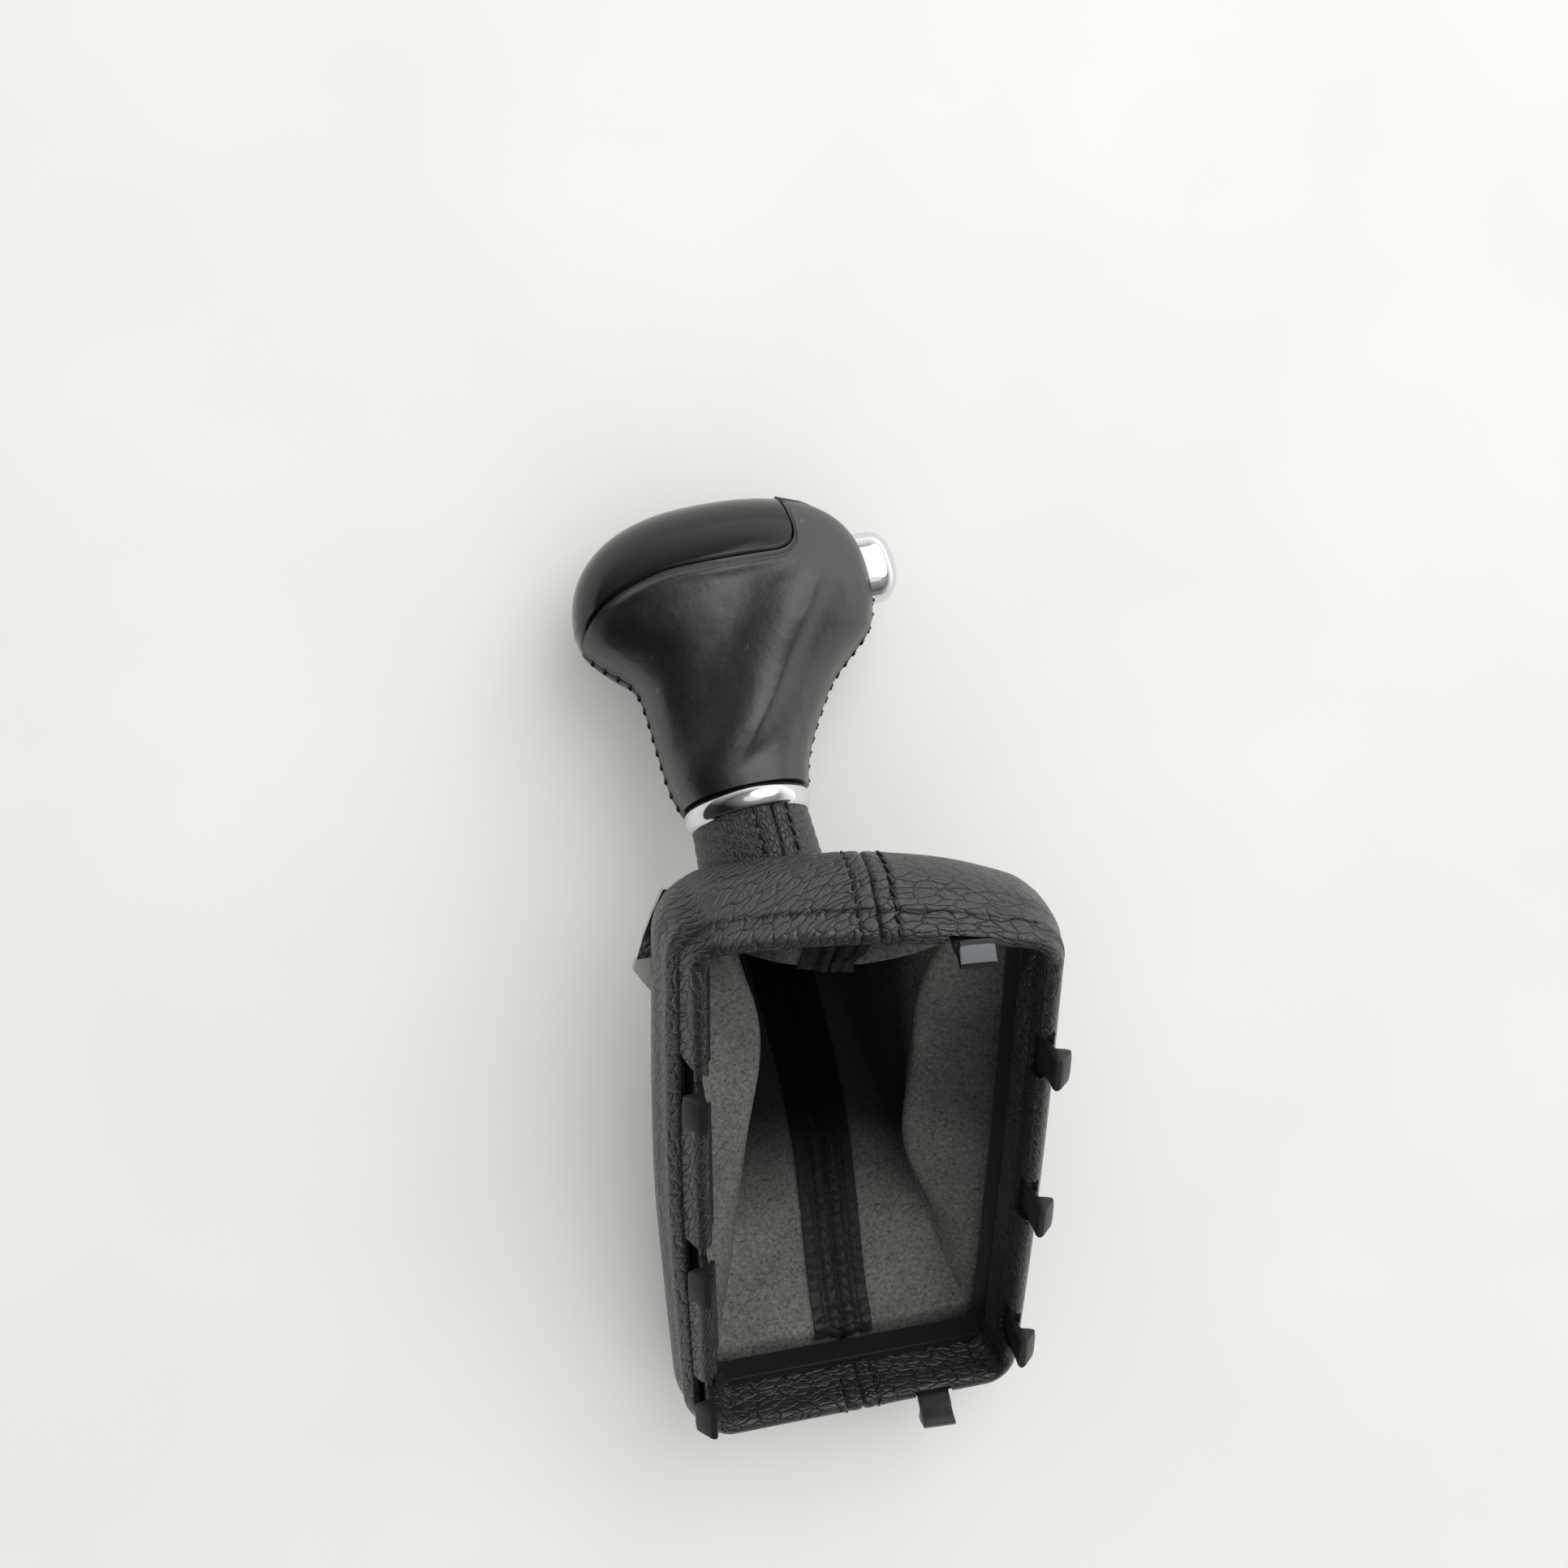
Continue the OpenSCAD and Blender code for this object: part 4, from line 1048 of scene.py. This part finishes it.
def flap_depth(v):
    """How far the leather goes down inside: 3 mm, and 5 mm at the near end and the right, cut unevenly."""
    near = 1 - smoothstep(0.095, 0.125, np.abs(v - 0.5))
    right = smoothstep(0.1, 0.13, v) * (1 - smoothstep(0.37, 0.4, v))
    return 2.6 + 3.0 * near + 2.6 * right + (0.25 + 0.6 * near) * ragged(v, 1.0)


def boot_control(v):
    """The control rows of the whole sleeve for an array of shares v."""
    v = np.asarray(v, float)
    drop = FLARE_Z - COLLAR_TOP
    rows = [neck_point(v, NECK_IN_R + NECK_FLARE * t, COLLAR_TOP + drop * t) for t in (0, 0.5)]
    rows += [open_boot(v, t) for t in np.linspace(0, 1, OPEN_ROWS)]
    rows += [from_frame(rim_point(v, out, z, BAND_SKIN)) for out, z in WRAP]
    out, z = WRAP[-1]
    for k in range(1, FLAP_ROWS + 1):
        deeper = flap_depth(v) * k / FLAP_ROWS
        rows.append(from_frame(rim_point(v, out - 0.42 * deeper, z - deeper)))
    grid = np.array(rows)
    grid[..., 2] = np.maximum(grid[..., 2], TABLE_TOUCH)
    return grid


def smooth_rows(control, places):
    """Cubic through the control rows at real-numbered places, each slope taken from the rows beside."""
    slope = np.gradient(control, axis=0)
    i = np.clip(places.astype(int), 0, len(control) - 2)
    return cubic(control[i], control[i + 1], slope[i], slope[i + 1], (places - i)[:, None, None])


# %% [markdown]
# Where the leather is cut
#
# Eight hook clips stand out of the rim through slots that were cut in the leather by hand. The
# columns of the grid are laid so that some fall exactly on the sides of each slot, and they are
# closer together by the two seams.

# %% Columns and cuts
CLIP_W = 9.0
LEFT_CLIPS = [0.275, 0.629, 0.922]
RIGHT_CLIPS = [0.242, 0.568, 0.886]
END_CLIP_X = [21.7, 21.0]
PERIMETER = 4 * rim_size(0.0)[3]
LAST_PLACE = WRAP_START + len(WRAP) + FLAP_ROWS - 1


def clip_slots():
    """(middle share, share before it, share after it, first and last row place) of each slot. On the long
    sides a slot reaches further towards the far end than towards the near one, and the far and left slots
    run to the leather's edge inside."""
    long, short, half = 8.0 / PERIMETER, 5.2 / PERIMETER, 5.4 / PERIMETER
    far, near = END_CLIP_X[0] / PERIMETER, 0.5 - END_CLIP_X[1] / PERIMETER
    right = [rim_share(1, RIM_L * (0.5 - s)) for s in RIGHT_CLIPS]
    left = [rim_share(-1, RIM_L * (0.5 - s)) for s in LEFT_CLIPS[::-1]]
    return [(far, half, half, WRAP_START + 10.6, LAST_PLACE),
        *((share, long, short, WRAP_START + 10.1, WRAP_START + 13.6) for share in right),
        (near, half, half, WRAP_START + 9.6, WRAP_START + 11.6),
        *((share, short, long, WRAP_START + 8.4, LAST_PLACE) for share in left)]


SLOTS = clip_slots()


def boot_columns():
    """Shares v from 0 to 1, 1.2 mm apart, 0.45 mm apart by the seams, with one on each side of each slot."""
    seam = 9 / PERIMETER
    stops = [0, seam, 0.5 - seam, 0.5, 0.5 + seam, 1 - seam, 1]
    for middle, before, after, *_ in SLOTS:
        stops += [middle - before, middle + after]
    stops = np.unique(np.round(stops, 9))
    runs = []
    for low, high in zip(stops[:-1], stops[1:]):
        centre = (low + high) / 2
        near_seam = min(centre, abs(centre - 0.5), 1 - centre) < seam
        step = 0.45 if near_seam else 1.2
        count = max(int(np.ceil((high - low) * PERIMETER / step)), 2)
        runs.append(np.linspace(low, high, count, endpoint=False))
    return np.concatenate([*runs, [1.0]])


COLUMNS = boot_columns()
ROW_PLACES = np.concatenate([np.linspace(0, OPEN_START, 26)[:-1],
    np.linspace(OPEN_START, WRAP_START - 1, 62)[:-1], np.linspace(WRAP_START - 1, LAST_PLACE, 134)])
print(len(COLUMNS), "columns and", len(ROW_PLACES), "rows in the boot")

# %% Boot panels
STITCH_APART = 4.6
PINCHES = (0.9, 0.104)
WELT, WELT_ROW = 0.9, 7.1
# The least share of the suede's own colour that is left in the darkest painted shade inside the boot.
LEAST_UNSHADED = 0.03


def seam_relief(apart):
    """A closed groove at the seam, the leather full beside it, and a shallower one under each stitch row."""
    return (-0.7 * bell(apart, 0.36) + 0.16 * bell(apart - 2.0, 1.2) - 0.3 * bell(apart - STITCH_APART, 0.4)
        + 0.1 * bell(apart - 6.0, 0.8))


def worn_relief(v, place):
    """The welt that the frame's edge presses into the left band, with a valley on both sides of it, two
    pinched corners at the far end, where the leather is gathered over the frame, and slanting neck folds."""
    row = place - WRAP_START
    left = smoothstep(0.57, 0.62, v) * (1 - smoothstep(0.88, 0.93, v))
    valleys = 0.8 * bell(row - WELT_ROW + 1.2, 0.6) + 0.9 * bell(row - WELT_ROW - 1.2, 0.5)
    welt = WELT * bell(row - WELT_ROW, 0.42) - valleys
    pinch = sum(bell(v - corner, 0.0035) + 0.6 * bell(v - corner - 0.009, 0.003) for corner in PINCHES)
    apart = np.minimum(v, 1 - v)
    folds = np.abs(np.sin(np.pi * (2.1 * place + 16 * apart))) ** 0.7 - 0.6
    neck = 0.3 * (1 - smoothstep(2.6, 3.6, place)) * smoothstep(0.035, 0.07, apart)
    return left * welt - 1.1 * pinch * bell(row - 11.2, 1.1) + neck * folds


def slot_cells(v_mid, place_mid):
    """True for each cell of the grid that a clip slot takes away."""
    cut = np.zeros((len(place_mid), len(v_mid)), bool)
    for middle, before, after, first, last in SLOTS:
        across = (v_mid > middle - before) & (v_mid < middle + after)
        cut |= across[None, :] & ((place_mid > first) & (place_mid < last + 1e-6))[:, None]
    return cut


def boot_sheet(first, last):
    """Outer grid, outward normals and map of the boot leather for the columns between two shares."""
    v = COLUMNS[(COLUMNS >= first - 1e-9) & (COLUMNS <= last + 1e-9)]
    skin = smooth_rows(boot_control(v), ROW_PLACES)
    out = -grid_normals(skin)
    along = run_length(skin, 0)
    apart = from_sides(skin)
    skin = skin + out * (seam_relief(apart) + worn_relief(v[None, :], ROW_PLACES[:, None]))[..., None]
    uv = np.stack([np.broadcast_to(v[None, :] * PERIMETER, along.shape), along], axis=-1) * MM
    return v, skin, -grid_normals(skin), uv


def unshaded_share(v, place):
    """0 where the inside of the boot is painted black as shade, near the lever, and 1 towards the frame. The
    soft edge lies round a share of 0.62 of the open boot, a little further out at the far side and on the
    right.
    Under the far rim and beside the right wall the hide is painted darker, as shade there."""
    t = (place - OPEN_START) / (OPEN_ROWS - 1)
    edge = 0.62 + 0.06 * (1 + np.cos(2 * np.pi * v)) / 2 + 0.14 * bell(v - 0.31, 0.09)
    far = 0.75 * bell(v - 0.94, 0.045) + 0.5 * bell(v - 0.02, 0.04)
    right = bell(v - 0.21, 0.1) * (0.3 + 0.4 * smoothstep(0.75, 1.0, t))
    unshaded = (1 - far - right) * smoothstep(edge - 0.14, edge + 0.12, t)
    return LEAST_UNSHADED + (1 - LEAST_UNSHADED) * unshaded


SHEETS = {"right": boot_sheet(0.0, 0.5), "left": boot_sheet(0.5, 1.0)}
for side, (v, skin, out, uv) in SHEETS.items():
    keep = ~slot_cells((v[1:] + v[:-1]) / 2, (ROW_PLACES[1:] + ROW_PLACES[:-1]) / 2)
    inner = skin - out * BOOT_T
    points, faces, inside = shell(skin[:, ::-1], inner[:, ::-1], keep[:, ::-1])
    uv = uv[:, ::-1].reshape(-1, 2)
    # Per point, how far painted shade darkens the inside of the boot: 1 not at all, near 0 black.
    unshaded = unshaded_share(v[None, ::-1], ROW_PLACES[:, None]).ravel()
    piece = make_piece("boot_leather_" + side, points, faces, [BOOT_LEATHER, SUEDE],
        kind=inside, uv=np.concatenate([uv, uv]), unshaded=np.concatenate([unshaded, unshaded]))
    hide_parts("boot_panel_" + side)

# %% [markdown]
# Boot ear
#
# Behind the far left corner an ear of the boot's gathered leather stands out sideways. Its front
# half shows the black face, and its rear half is turned over and shows pale suede, painted paler still
# as the light on its upturned face.

# %% Boot ear
EAR_EDGE = np.array([(-28.5, -27.5, 2.5), (-32.4, -23.4, 4.0), (-34.6, -20.6, 4.6), (-37.0, -17.0, 5.4),
    (-35.9, -14.2, 6.2), (-33.9, -9.4, 4.4), (-31.0, -2.8, 5.5), (-28.0, 3.0, 7.0)])
EAR_TURN, EAR_ROOT_X = 0.56, -22.0
EAR_ROWS, EAR_COLS = 20, 49


def boot_ear():
    """A fan from the band's underside to the ear's edge, as thick as the boot, folded from its tip."""
    share = np.linspace(0, 1, EAR_COLS)
    at = share * (len(EAR_EDGE) - 1)
    edge = np.column_stack([np.interp(at, np.arange(len(EAR_EDGE)), EAR_EDGE[:, k]) for k in range(3)])
    root = np.column_stack([np.full(EAR_COLS, EAR_ROOT_X), edge[:, 1] * 0.95, 0.5 * edge[:, 2] + 1.5])
    out = np.linspace(0, 1, EAR_ROWS)[:, None, None]
    sheet = root[None] * (1 - out) + edge[None] * out
    sheet[..., 2] += 1.1 * bell(share - EAR_TURN, 0.12)[None, :] * out[..., 0] + 0.5 * np.sin(5 * out[..., 0])
    return sheet, sheet - grid_normals(sheet) * BOOT_T


outer, inner = boot_ear()
points, faces, _ = shell(outer, inner)
cells = EAR_COLS - 1
order = np.arange(len(faces))
front = order < (EAR_ROWS - 1) * cells
kind = np.where(front & (order % cells >= cells * EAR_TURN), 0, 1)
wide, long = np.meshgrid(np.linspace(0, 30, EAR_COLS), np.linspace(0, 12, EAR_ROWS))
flat = np.column_stack([wide.ravel(), long.ravel()]) * MM
make_piece("boot_ear", points, faces, [BOOT_LEATHER, PALE_SUEDE_AND_PAINTED_LIGHT], kind=kind,
    uv=np.concatenate([flat, flat]))

# %% [markdown]
# Stitches
#
# Two rows of lockstitch run beside the boot's seam, about 4.6 mm from it and 3.7 mm a stitch. The
# thread lies on the leather between two needle holes. Each stitch is a short bowed rod.


# %% Stitches
ROD_RINGS, ROD_SIDES = 7, 6


def rods(starts, ends, ups, radius, bow):
    """Rods from starts to ends, raised by bow times 1 - t squared, six-sided and closed at both ends."""
    t = np.linspace(-1, 1, ROD_RINGS)
    middle, half = (starts + ends) / 2, (ends - starts) / 2
    centre = (middle[:, None] + half[:, None] * t[None, :, None]
        + ups[:, None] * (bow * (1 - t**2))[None, :, None])
    side = unit(np.cross(half, ups))
    angle = 2 * np.pi * np.arange(ROD_SIDES) / ROD_SIDES
    thick = (radius * (1 - 0.55 * t**6))[None, :, None, None]
    ring = (side[:, None, None] * np.cos(angle)[None, None, :, None]
        + ups[:, None, None] * np.sin(angle)[None, None, :, None])
    points = (centre[:, :, None] + thick * ring).reshape(-1, 3)
    count = ROD_RINGS * ROD_SIDES
    index = np.arange(count).reshape(ROD_RINGS, ROD_SIDES)
    right = np.roll(index, -1, axis=1)
    body = np.stack([index[:-1], index[1:], right[1:], right[:-1]], axis=-1).reshape(-1, 4)
    first = np.array([[0, 1, 2, 3], [0, 3, 4, 5]])
    last = count - ROD_SIDES + first[:, ::-1]
    faces = (np.arange(len(starts)) * count)[:, None, None] + np.concatenate([body, first, last])[None]
    return points, faces.reshape(-1, 4)


def line_beside(grid, others, distance):
    """Where a grid's rows reach a distance from their first column, and the same place of other grids."""
    run = run_length(grid, 1)
    i = np.clip((run < distance).sum(axis=1) - 1, 0, grid.shape[1] - 2)
    rows = np.arange(len(grid))
    t = ((distance - run[rows, i]) / (run[rows, i + 1] - run[rows, i]))[:, None]
    return [g[rows, i] * (1 - t) + g[rows, i + 1] * t for g in (grid, *others)]


def along_line(line, others, at):
    """Points at given lengths along a line, and the matching values of other lines."""
    run = run_length(line, 0)
    return [np.column_stack([np.interp(at, run, g[:, k]) for k in range(3)]) for g in (line, *others)]


STITCH_PITCH, STITCH_LONG, THREAD_R = 3.7, 2.8, 0.42
starts, ends, ups = [], [], []
for side, (v, skin, out, uv) in SHEETS.items():
    for turned_over in (False, True):
        grid, normal = (skin[:, ::-1], out[:, ::-1]) if turned_over else (skin, out)
        line, up = line_beside(grid, [normal], STITCH_APART)
        wide = line_beside(grid, [], STITCH_APART + 0.8)[0]
        total = run_length(line, 0)[-1]
        at = np.arange(1.0, total - STITCH_LONG, STITCH_PITCH)
        low, here = along_line(line, [up], at)
        high, there = along_line(wide, [up], at + STITCH_LONG)
        starts.append(low + 0.1 * here)
        ends.append(high + 0.1 * there)
        ups.append(unit(here + there))
starts, ends, ups = (np.concatenate(part) for part in (starts, ends, ups))
points, faces = rods(starts, ends, ups, THREAD_R, 0.25)
make_piece("boot_seam_stitches", points, faces, [THREAD])

# %% [markdown]
# Seam tapes
#
# Inside, each seam of the boot is covered by a strip of coated tape. Two rows of stitches hold it,
# and it puckers between them: small pillows one stitch long, with a groove along the middle.

# %% Seam tapes
TAPE_HALF, TAPE_T, TAPE_LEAST, TAPE_GAP = 8.6, 0.8, 0.25, 0.1
TAPE_ROWS, TAPE_REACH = 150, np.linspace(0.02, TAPE_HALF, 22)
PUCKER_HIGH, PUCKER_AT, EDGE_PUCKER = 0.8, 2.4, 0.35
SEAM_SHARE = np.linspace(0, 0.075, 60)


def tape_height(along, across):
    """Thickness of a tape: pillows one stitch long, whose phase wanders, between the seam's groove and the
    stitch rows, which draw the tape down, and lower ones outside the rows."""
    wander = 0.5 * np.sin(0.23 * along + 0.9 * across)
    pillow = np.abs(np.cos(np.pi * along / STITCH_PITCH + wander)) ** 0.6
    away = np.abs(across)
    drawn = 0.6 * bell(across, 0.5) + 0.35 * bell(away - STITCH_APART, 0.7)
    edge = EDGE_PUCKER * smoothstep(STITCH_APART + 0.4, STITCH_APART + 1.4, away) * pillow
    return np.maximum(TAPE_T + PUCKER_HIGH * pillow * bell(away - PUCKER_AT, 1.4) + edge - drawn, TAPE_LEAST)


def tape_grid(middle, first, last):
    """Base and top of a tape: points at even distances to both sides of a seam, off the suede."""
    places = np.linspace(first, last, TAPE_ROWS)
    sides = []
    for way in (-1, 1):
        grid = smooth_rows(boot_control(middle + way * SEAM_SHARE), places)
        normal = -grid_normals(grid) * way
        inner = grid - normal * BOOT_T
        sides.append([line_beside(inner, [normal], reach) for reach in TAPE_REACH])
    lines = sides[0][::-1] + sides[1]
    base = np.stack([line for line, normal in lines], axis=1)
    normal = np.stack([normal for line, normal in lines], axis=1)
    across = np.concatenate([-TAPE_REACH[::-1], TAPE_REACH])
    # Each row of a tape takes the painted shade of the suede where it lies.
    unshaded = np.repeat(unshaded_share(middle, places)[:, None], len(across), axis=1).ravel()
    along = run_length(base[:, len(TAPE_REACH)][:, None], 0)
    base = base - normal * TAPE_GAP
    return base, base - normal * tape_height(along, across)[..., None], unshaded


for name, middle, first, last in (("seam_tape_upper", 0.0, 3.5, 10.6), ("seam_tape_lower", 0.5, 3.5, 12.6)):
    base, top, unshaded = tape_grid(middle, first, last)
    points, faces, _ = shell(top, base)
    piece = make_piece(name + "_skin", points, faces, [TAPE],
        unshaded=np.concatenate([unshaded, unshaded]))
    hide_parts(name)

# %% [markdown]
# Hand-laced seams of the grip
#
# The two grip panels are laced together along both sides of the head with a baseball stitch: from
# every hole the thread runs slanting into the seam, so that the stitches point to the head.

# %% Grip lacing
LACE_PITCH, LACE_HALF, LACE_SLANT, LACE_R = 4.1, 2.3, 1.5, 0.42
ROLLED_ROWS = 3


def lacing(panel, at_end):
    """Starts, ends and ups of the slanting stitches on one panel beside one of its side seams. A stitch
    starts in its hole, a little below the leather, and ends over the seam."""
    grid, normal = panel[ROLLED_ROWS:-ROLLED_ROWS], grid_normals(panel)[ROLLED_ROWS:-ROLLED_ROWS]
    if at_end:
        grid, normal = grid[:, ::-1], normal[:, ::-1]
    hole, up = line_beside(grid, [normal], LACE_HALF)
    seam = line_beside(grid, [], 0.25)[0]
    total = run_length(hole, 0)[-1]
    at = np.arange(1.2, total - LACE_PITCH * 0.7, LACE_PITCH)
    low, here = along_line(hole, [up], at)
    high = along_line(seam, [], at + LACE_SLANT)[0]
    return low - 0.1 * here, high + 0.45 * here, here


parts = [lacing(panel, at_end) for panel in GRIP_PANELS for at_end in (False, True)]
starts, ends, ups = (np.concatenate([part[k] for part in parts]) for k in range(3))
points, faces = rods(from_knob(starts), from_knob(ends), from_knob(ups), LACE_R, 0.35)
make_piece("grip_lacing", points, faces, [THREAD])

# %% [markdown]
# Frame
#
# The frame is one moulding. Its section is carried round the rim: a wall at the rim that parts
# into the outer wall of the band and an inner wall that leans in. Corners are rounded by cutting
# each one with a small curve. A shallow groove runs round the inner wall.

# %% Frame moulding
FRAME_WALL, RIM_OUT, RIM_LOW = 2.1, 0.6, -0.8
BAND_FOOT, BAND_EDGE, FORK, INNER_FOOT = 1.2 - BAND_DEPTH, -17.4, -6.8, -21.5
GROOVE, GROOVE_DEEP = [(0.42, 0), (0.44, 1), (0.5, 1), (0.52, 0)], 0.3
CORNER_R = 0.45


def inner_lean(v):
    """How far the inner wall leans in: 9.5 mm at the far end, 5.8 mm right and near, 3.4 mm on the left."""
    away = smoothstep(0.06, 0.12, v) * (1 - smoothstep(0.93, 0.98, v))
    return 9.5 - 3.7 * away - 2.4 * smoothstep(0.57, 0.62, v) * (1 - smoothstep(0.91, 0.96, v))


def from_band(d, z):
    """A corner of the section: d inside the band's outer face, at a height z."""
    return (BAND_OUT - d, z, -d)


def from_rim(d, z):
    """A corner of the section: d inside the rim's outer face, at a height z."""
    return (RIM_OUT - d, z, 0)


def frame_outline(v):
    """The section's corners for every share v, as reach, height and skin: (corner, share, 3). It goes down
    the outside, back up inside the band's wall, down and up the inner wall, and over the rim."""
    top = RIM_LOW - 1
    band = [from_rim(0.9, RIM_LOW), from_rim(0, top), from_rim(0, FORK), from_band(0.6, -13.8),
        from_band(0, BAND_EDGE), from_band(0, 3.5 - BAND_DEPTH), from_band(1, BAND_FOOT),
        from_band(FRAME_WALL, BAND_FOOT), from_band(FRAME_WALL, BAND_EDGE),
        from_band(FRAME_WALL + 0.8, -14.6), from_rim(1, -8.6)]
    rim = [from_rim(FRAME_WALL, -6.5), from_rim(FRAME_WALL, top), from_rim(FRAME_WALL - 0.7, RIM_LOW)]

    def everywhere(corner):
        """The same corner for every share."""
        return np.broadcast_to(np.array(corner, float), (len(v), 3))

    zero = np.zeros(len(v))
    foot = np.stack([-inner_lean(v), zero + INNER_FOOT, zero], axis=-1)
    head = everywhere(rim[0])
    into = np.array([GROOVE_DEEP, 0, 0])
    groove = [foot * (1 - s) + head * s + into * deep for s, deep in GROOVE]
    section = [*(everywhere(corner) for corner in band), foot + np.array([FRAME_WALL, 0, 0]), foot,
        *groove, *(everywhere(corner) for corner in rim)]
    return np.array(section)


def rounded(section, radius):
    """Each corner becomes three points: one on either edge at the radius, and the curve's middle."""
    def towards(other):
        """From each corner a radius towards another one, or less than half of a short edge."""
        gap = np.linalg.norm((other - section)[..., :2], axis=-1, keepdims=True)
        return section + (other - section) * np.minimum(radius / np.maximum(gap, 1e-6), 0.42)

    before, after = towards(np.roll(section, 1, axis=0)), towards(np.roll(section, -1, axis=0))
    middle = 0.25 * before + 0.5 * section + 0.25 * after
    return np.stack([before, middle, after], axis=1).reshape(-1, *section.shape[1:])


# %% Hook clips
CLIP_H, BARB, CLIP_ROOT = 8.4, 3.6, -6.0
# The ramp face of the clip that faces this way is painted pale, as a highlight.
RAMP_ROW, PAINTED_HIGHLIGHT_HEADING = 6, 90
END_CLIP_LEAN = [-15, 22]
CLIP_PLACES = ([(-RIM_W / 2, RIM_L * (0.5 - s), 180, 0) for s in LEFT_CLIPS]
    + [(RIM_W / 2, RIM_L * (0.5 - s), 0, 0) for s in RIGHT_CLIPS]
    + [(END_CLIP_X[0], RIM_L / 2, 90, END_CLIP_LEAN[0]), (END_CLIP_X[1], -RIM_L / 2, -90, END_CLIP_LEAN[1])])


def clip_shape():
    """Outer and inner grids of one hook clip: rows go up its profile, columns across its width.
    The side edges and the barb are rounded by drawing the outermost columns in."""
    tip = RIM_OUT + BARB
    outer = np.array([(RIM_OUT, CLIP_ROOT), (RIM_OUT, 2.7), (RIM_OUT + 0.5, 3.1), (tip - 0.4, 3.6),
        (tip, 3.8), (tip, 4.5), (tip - 0.5, 5.1), (RIM_OUT + 0.1, CLIP_H - 0.2), (RIM_OUT - 0.4, CLIP_H)])
    back = RIM_OUT - FRAME_WALL
    inner = np.array([(back, CLIP_ROOT), (back, 2.0), (back, 2.6), (back, 3.4), (back, 4.0), (back, 5.0),
        (back, 6.2), (back, CLIP_H - 0.8), (back + 0.4, CLIP_H)])
    y = CLIP_W / 2 * np.array([-1, -0.94, -0.5, 0, 0.5, 0.94, 1])
    draw = np.array([0.35, 0.08, 0, 0, 0, 0.08, 0.35])[None, :, None]
    middle = (outer + inner)[:, None] / 2
    front = outer[:, None] + (middle - outer[:, None]) * draw
    rear = inner[:, None] + (middle - inner[:, None]) * draw
    return [stack(g[..., 0], y[None, :], g[..., 1]) for g in (front, rear)]


def place_clip(grid, x, y, heading, lean):
    """A clip at its place on the rim: leaned outwards about its root, turned to face out, and moved."""
    grid = grid - [0, 0, CLIP_ROOT]
    grid = turned(turned(grid, -lean, 0, 2), heading, 0, 1)
    return from_frame(grid + warp(np.array(x), np.array(y), np.array(CLIP_ROOT)))


# %% Moulding and clips together
shares = np.linspace(0, 1, 420, endpoint=False)
outline = rounded(frame_outline(shares), CORNER_R)
wall = from_frame(rim_point(shares[None, :], outline[..., 0], outline[..., 1], outline[..., 2]))
points, faces = [wall.reshape(-1, 3)], [tube_faces(*wall.shape[:2])]
kinds = [np.zeros(len(faces[0]), int)]
front, rear = clip_shape()
for place in CLIP_PLACES:
    clip_points, clip_faces, _ = shell(place_clip(front, *place), place_clip(rear, *place))
    faces.append(clip_faces + sum(len(p) for p in points))
    points.append(clip_points)
    # The far clip's ramp face gets the painted highlight.
    ramp_face = np.arange(len(clip_faces)) // (front.shape[1] - 1) == RAMP_ROW
    kinds.append((ramp_face & (place[2] == PAINTED_HIGHLIGHT_HEADING)).astype(int))
moulding = make_piece("frame_moulding", np.concatenate(points), np.concatenate(faces),
    [FRAME_ABS, HIGHLIGHT_PAINTED_ABS], kind=np.concatenate(kinds), sharp=30)
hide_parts("boot_frame")

# %% [markdown]
#
# The visual model has to stay within the solid one.

# %% Sizes as plain numbers
def plain(box):
    """A box as plain numbers, in metres to a hundredth of a millimetre."""
    return [[round(float(n), 5) for n in corner] for corner in box]
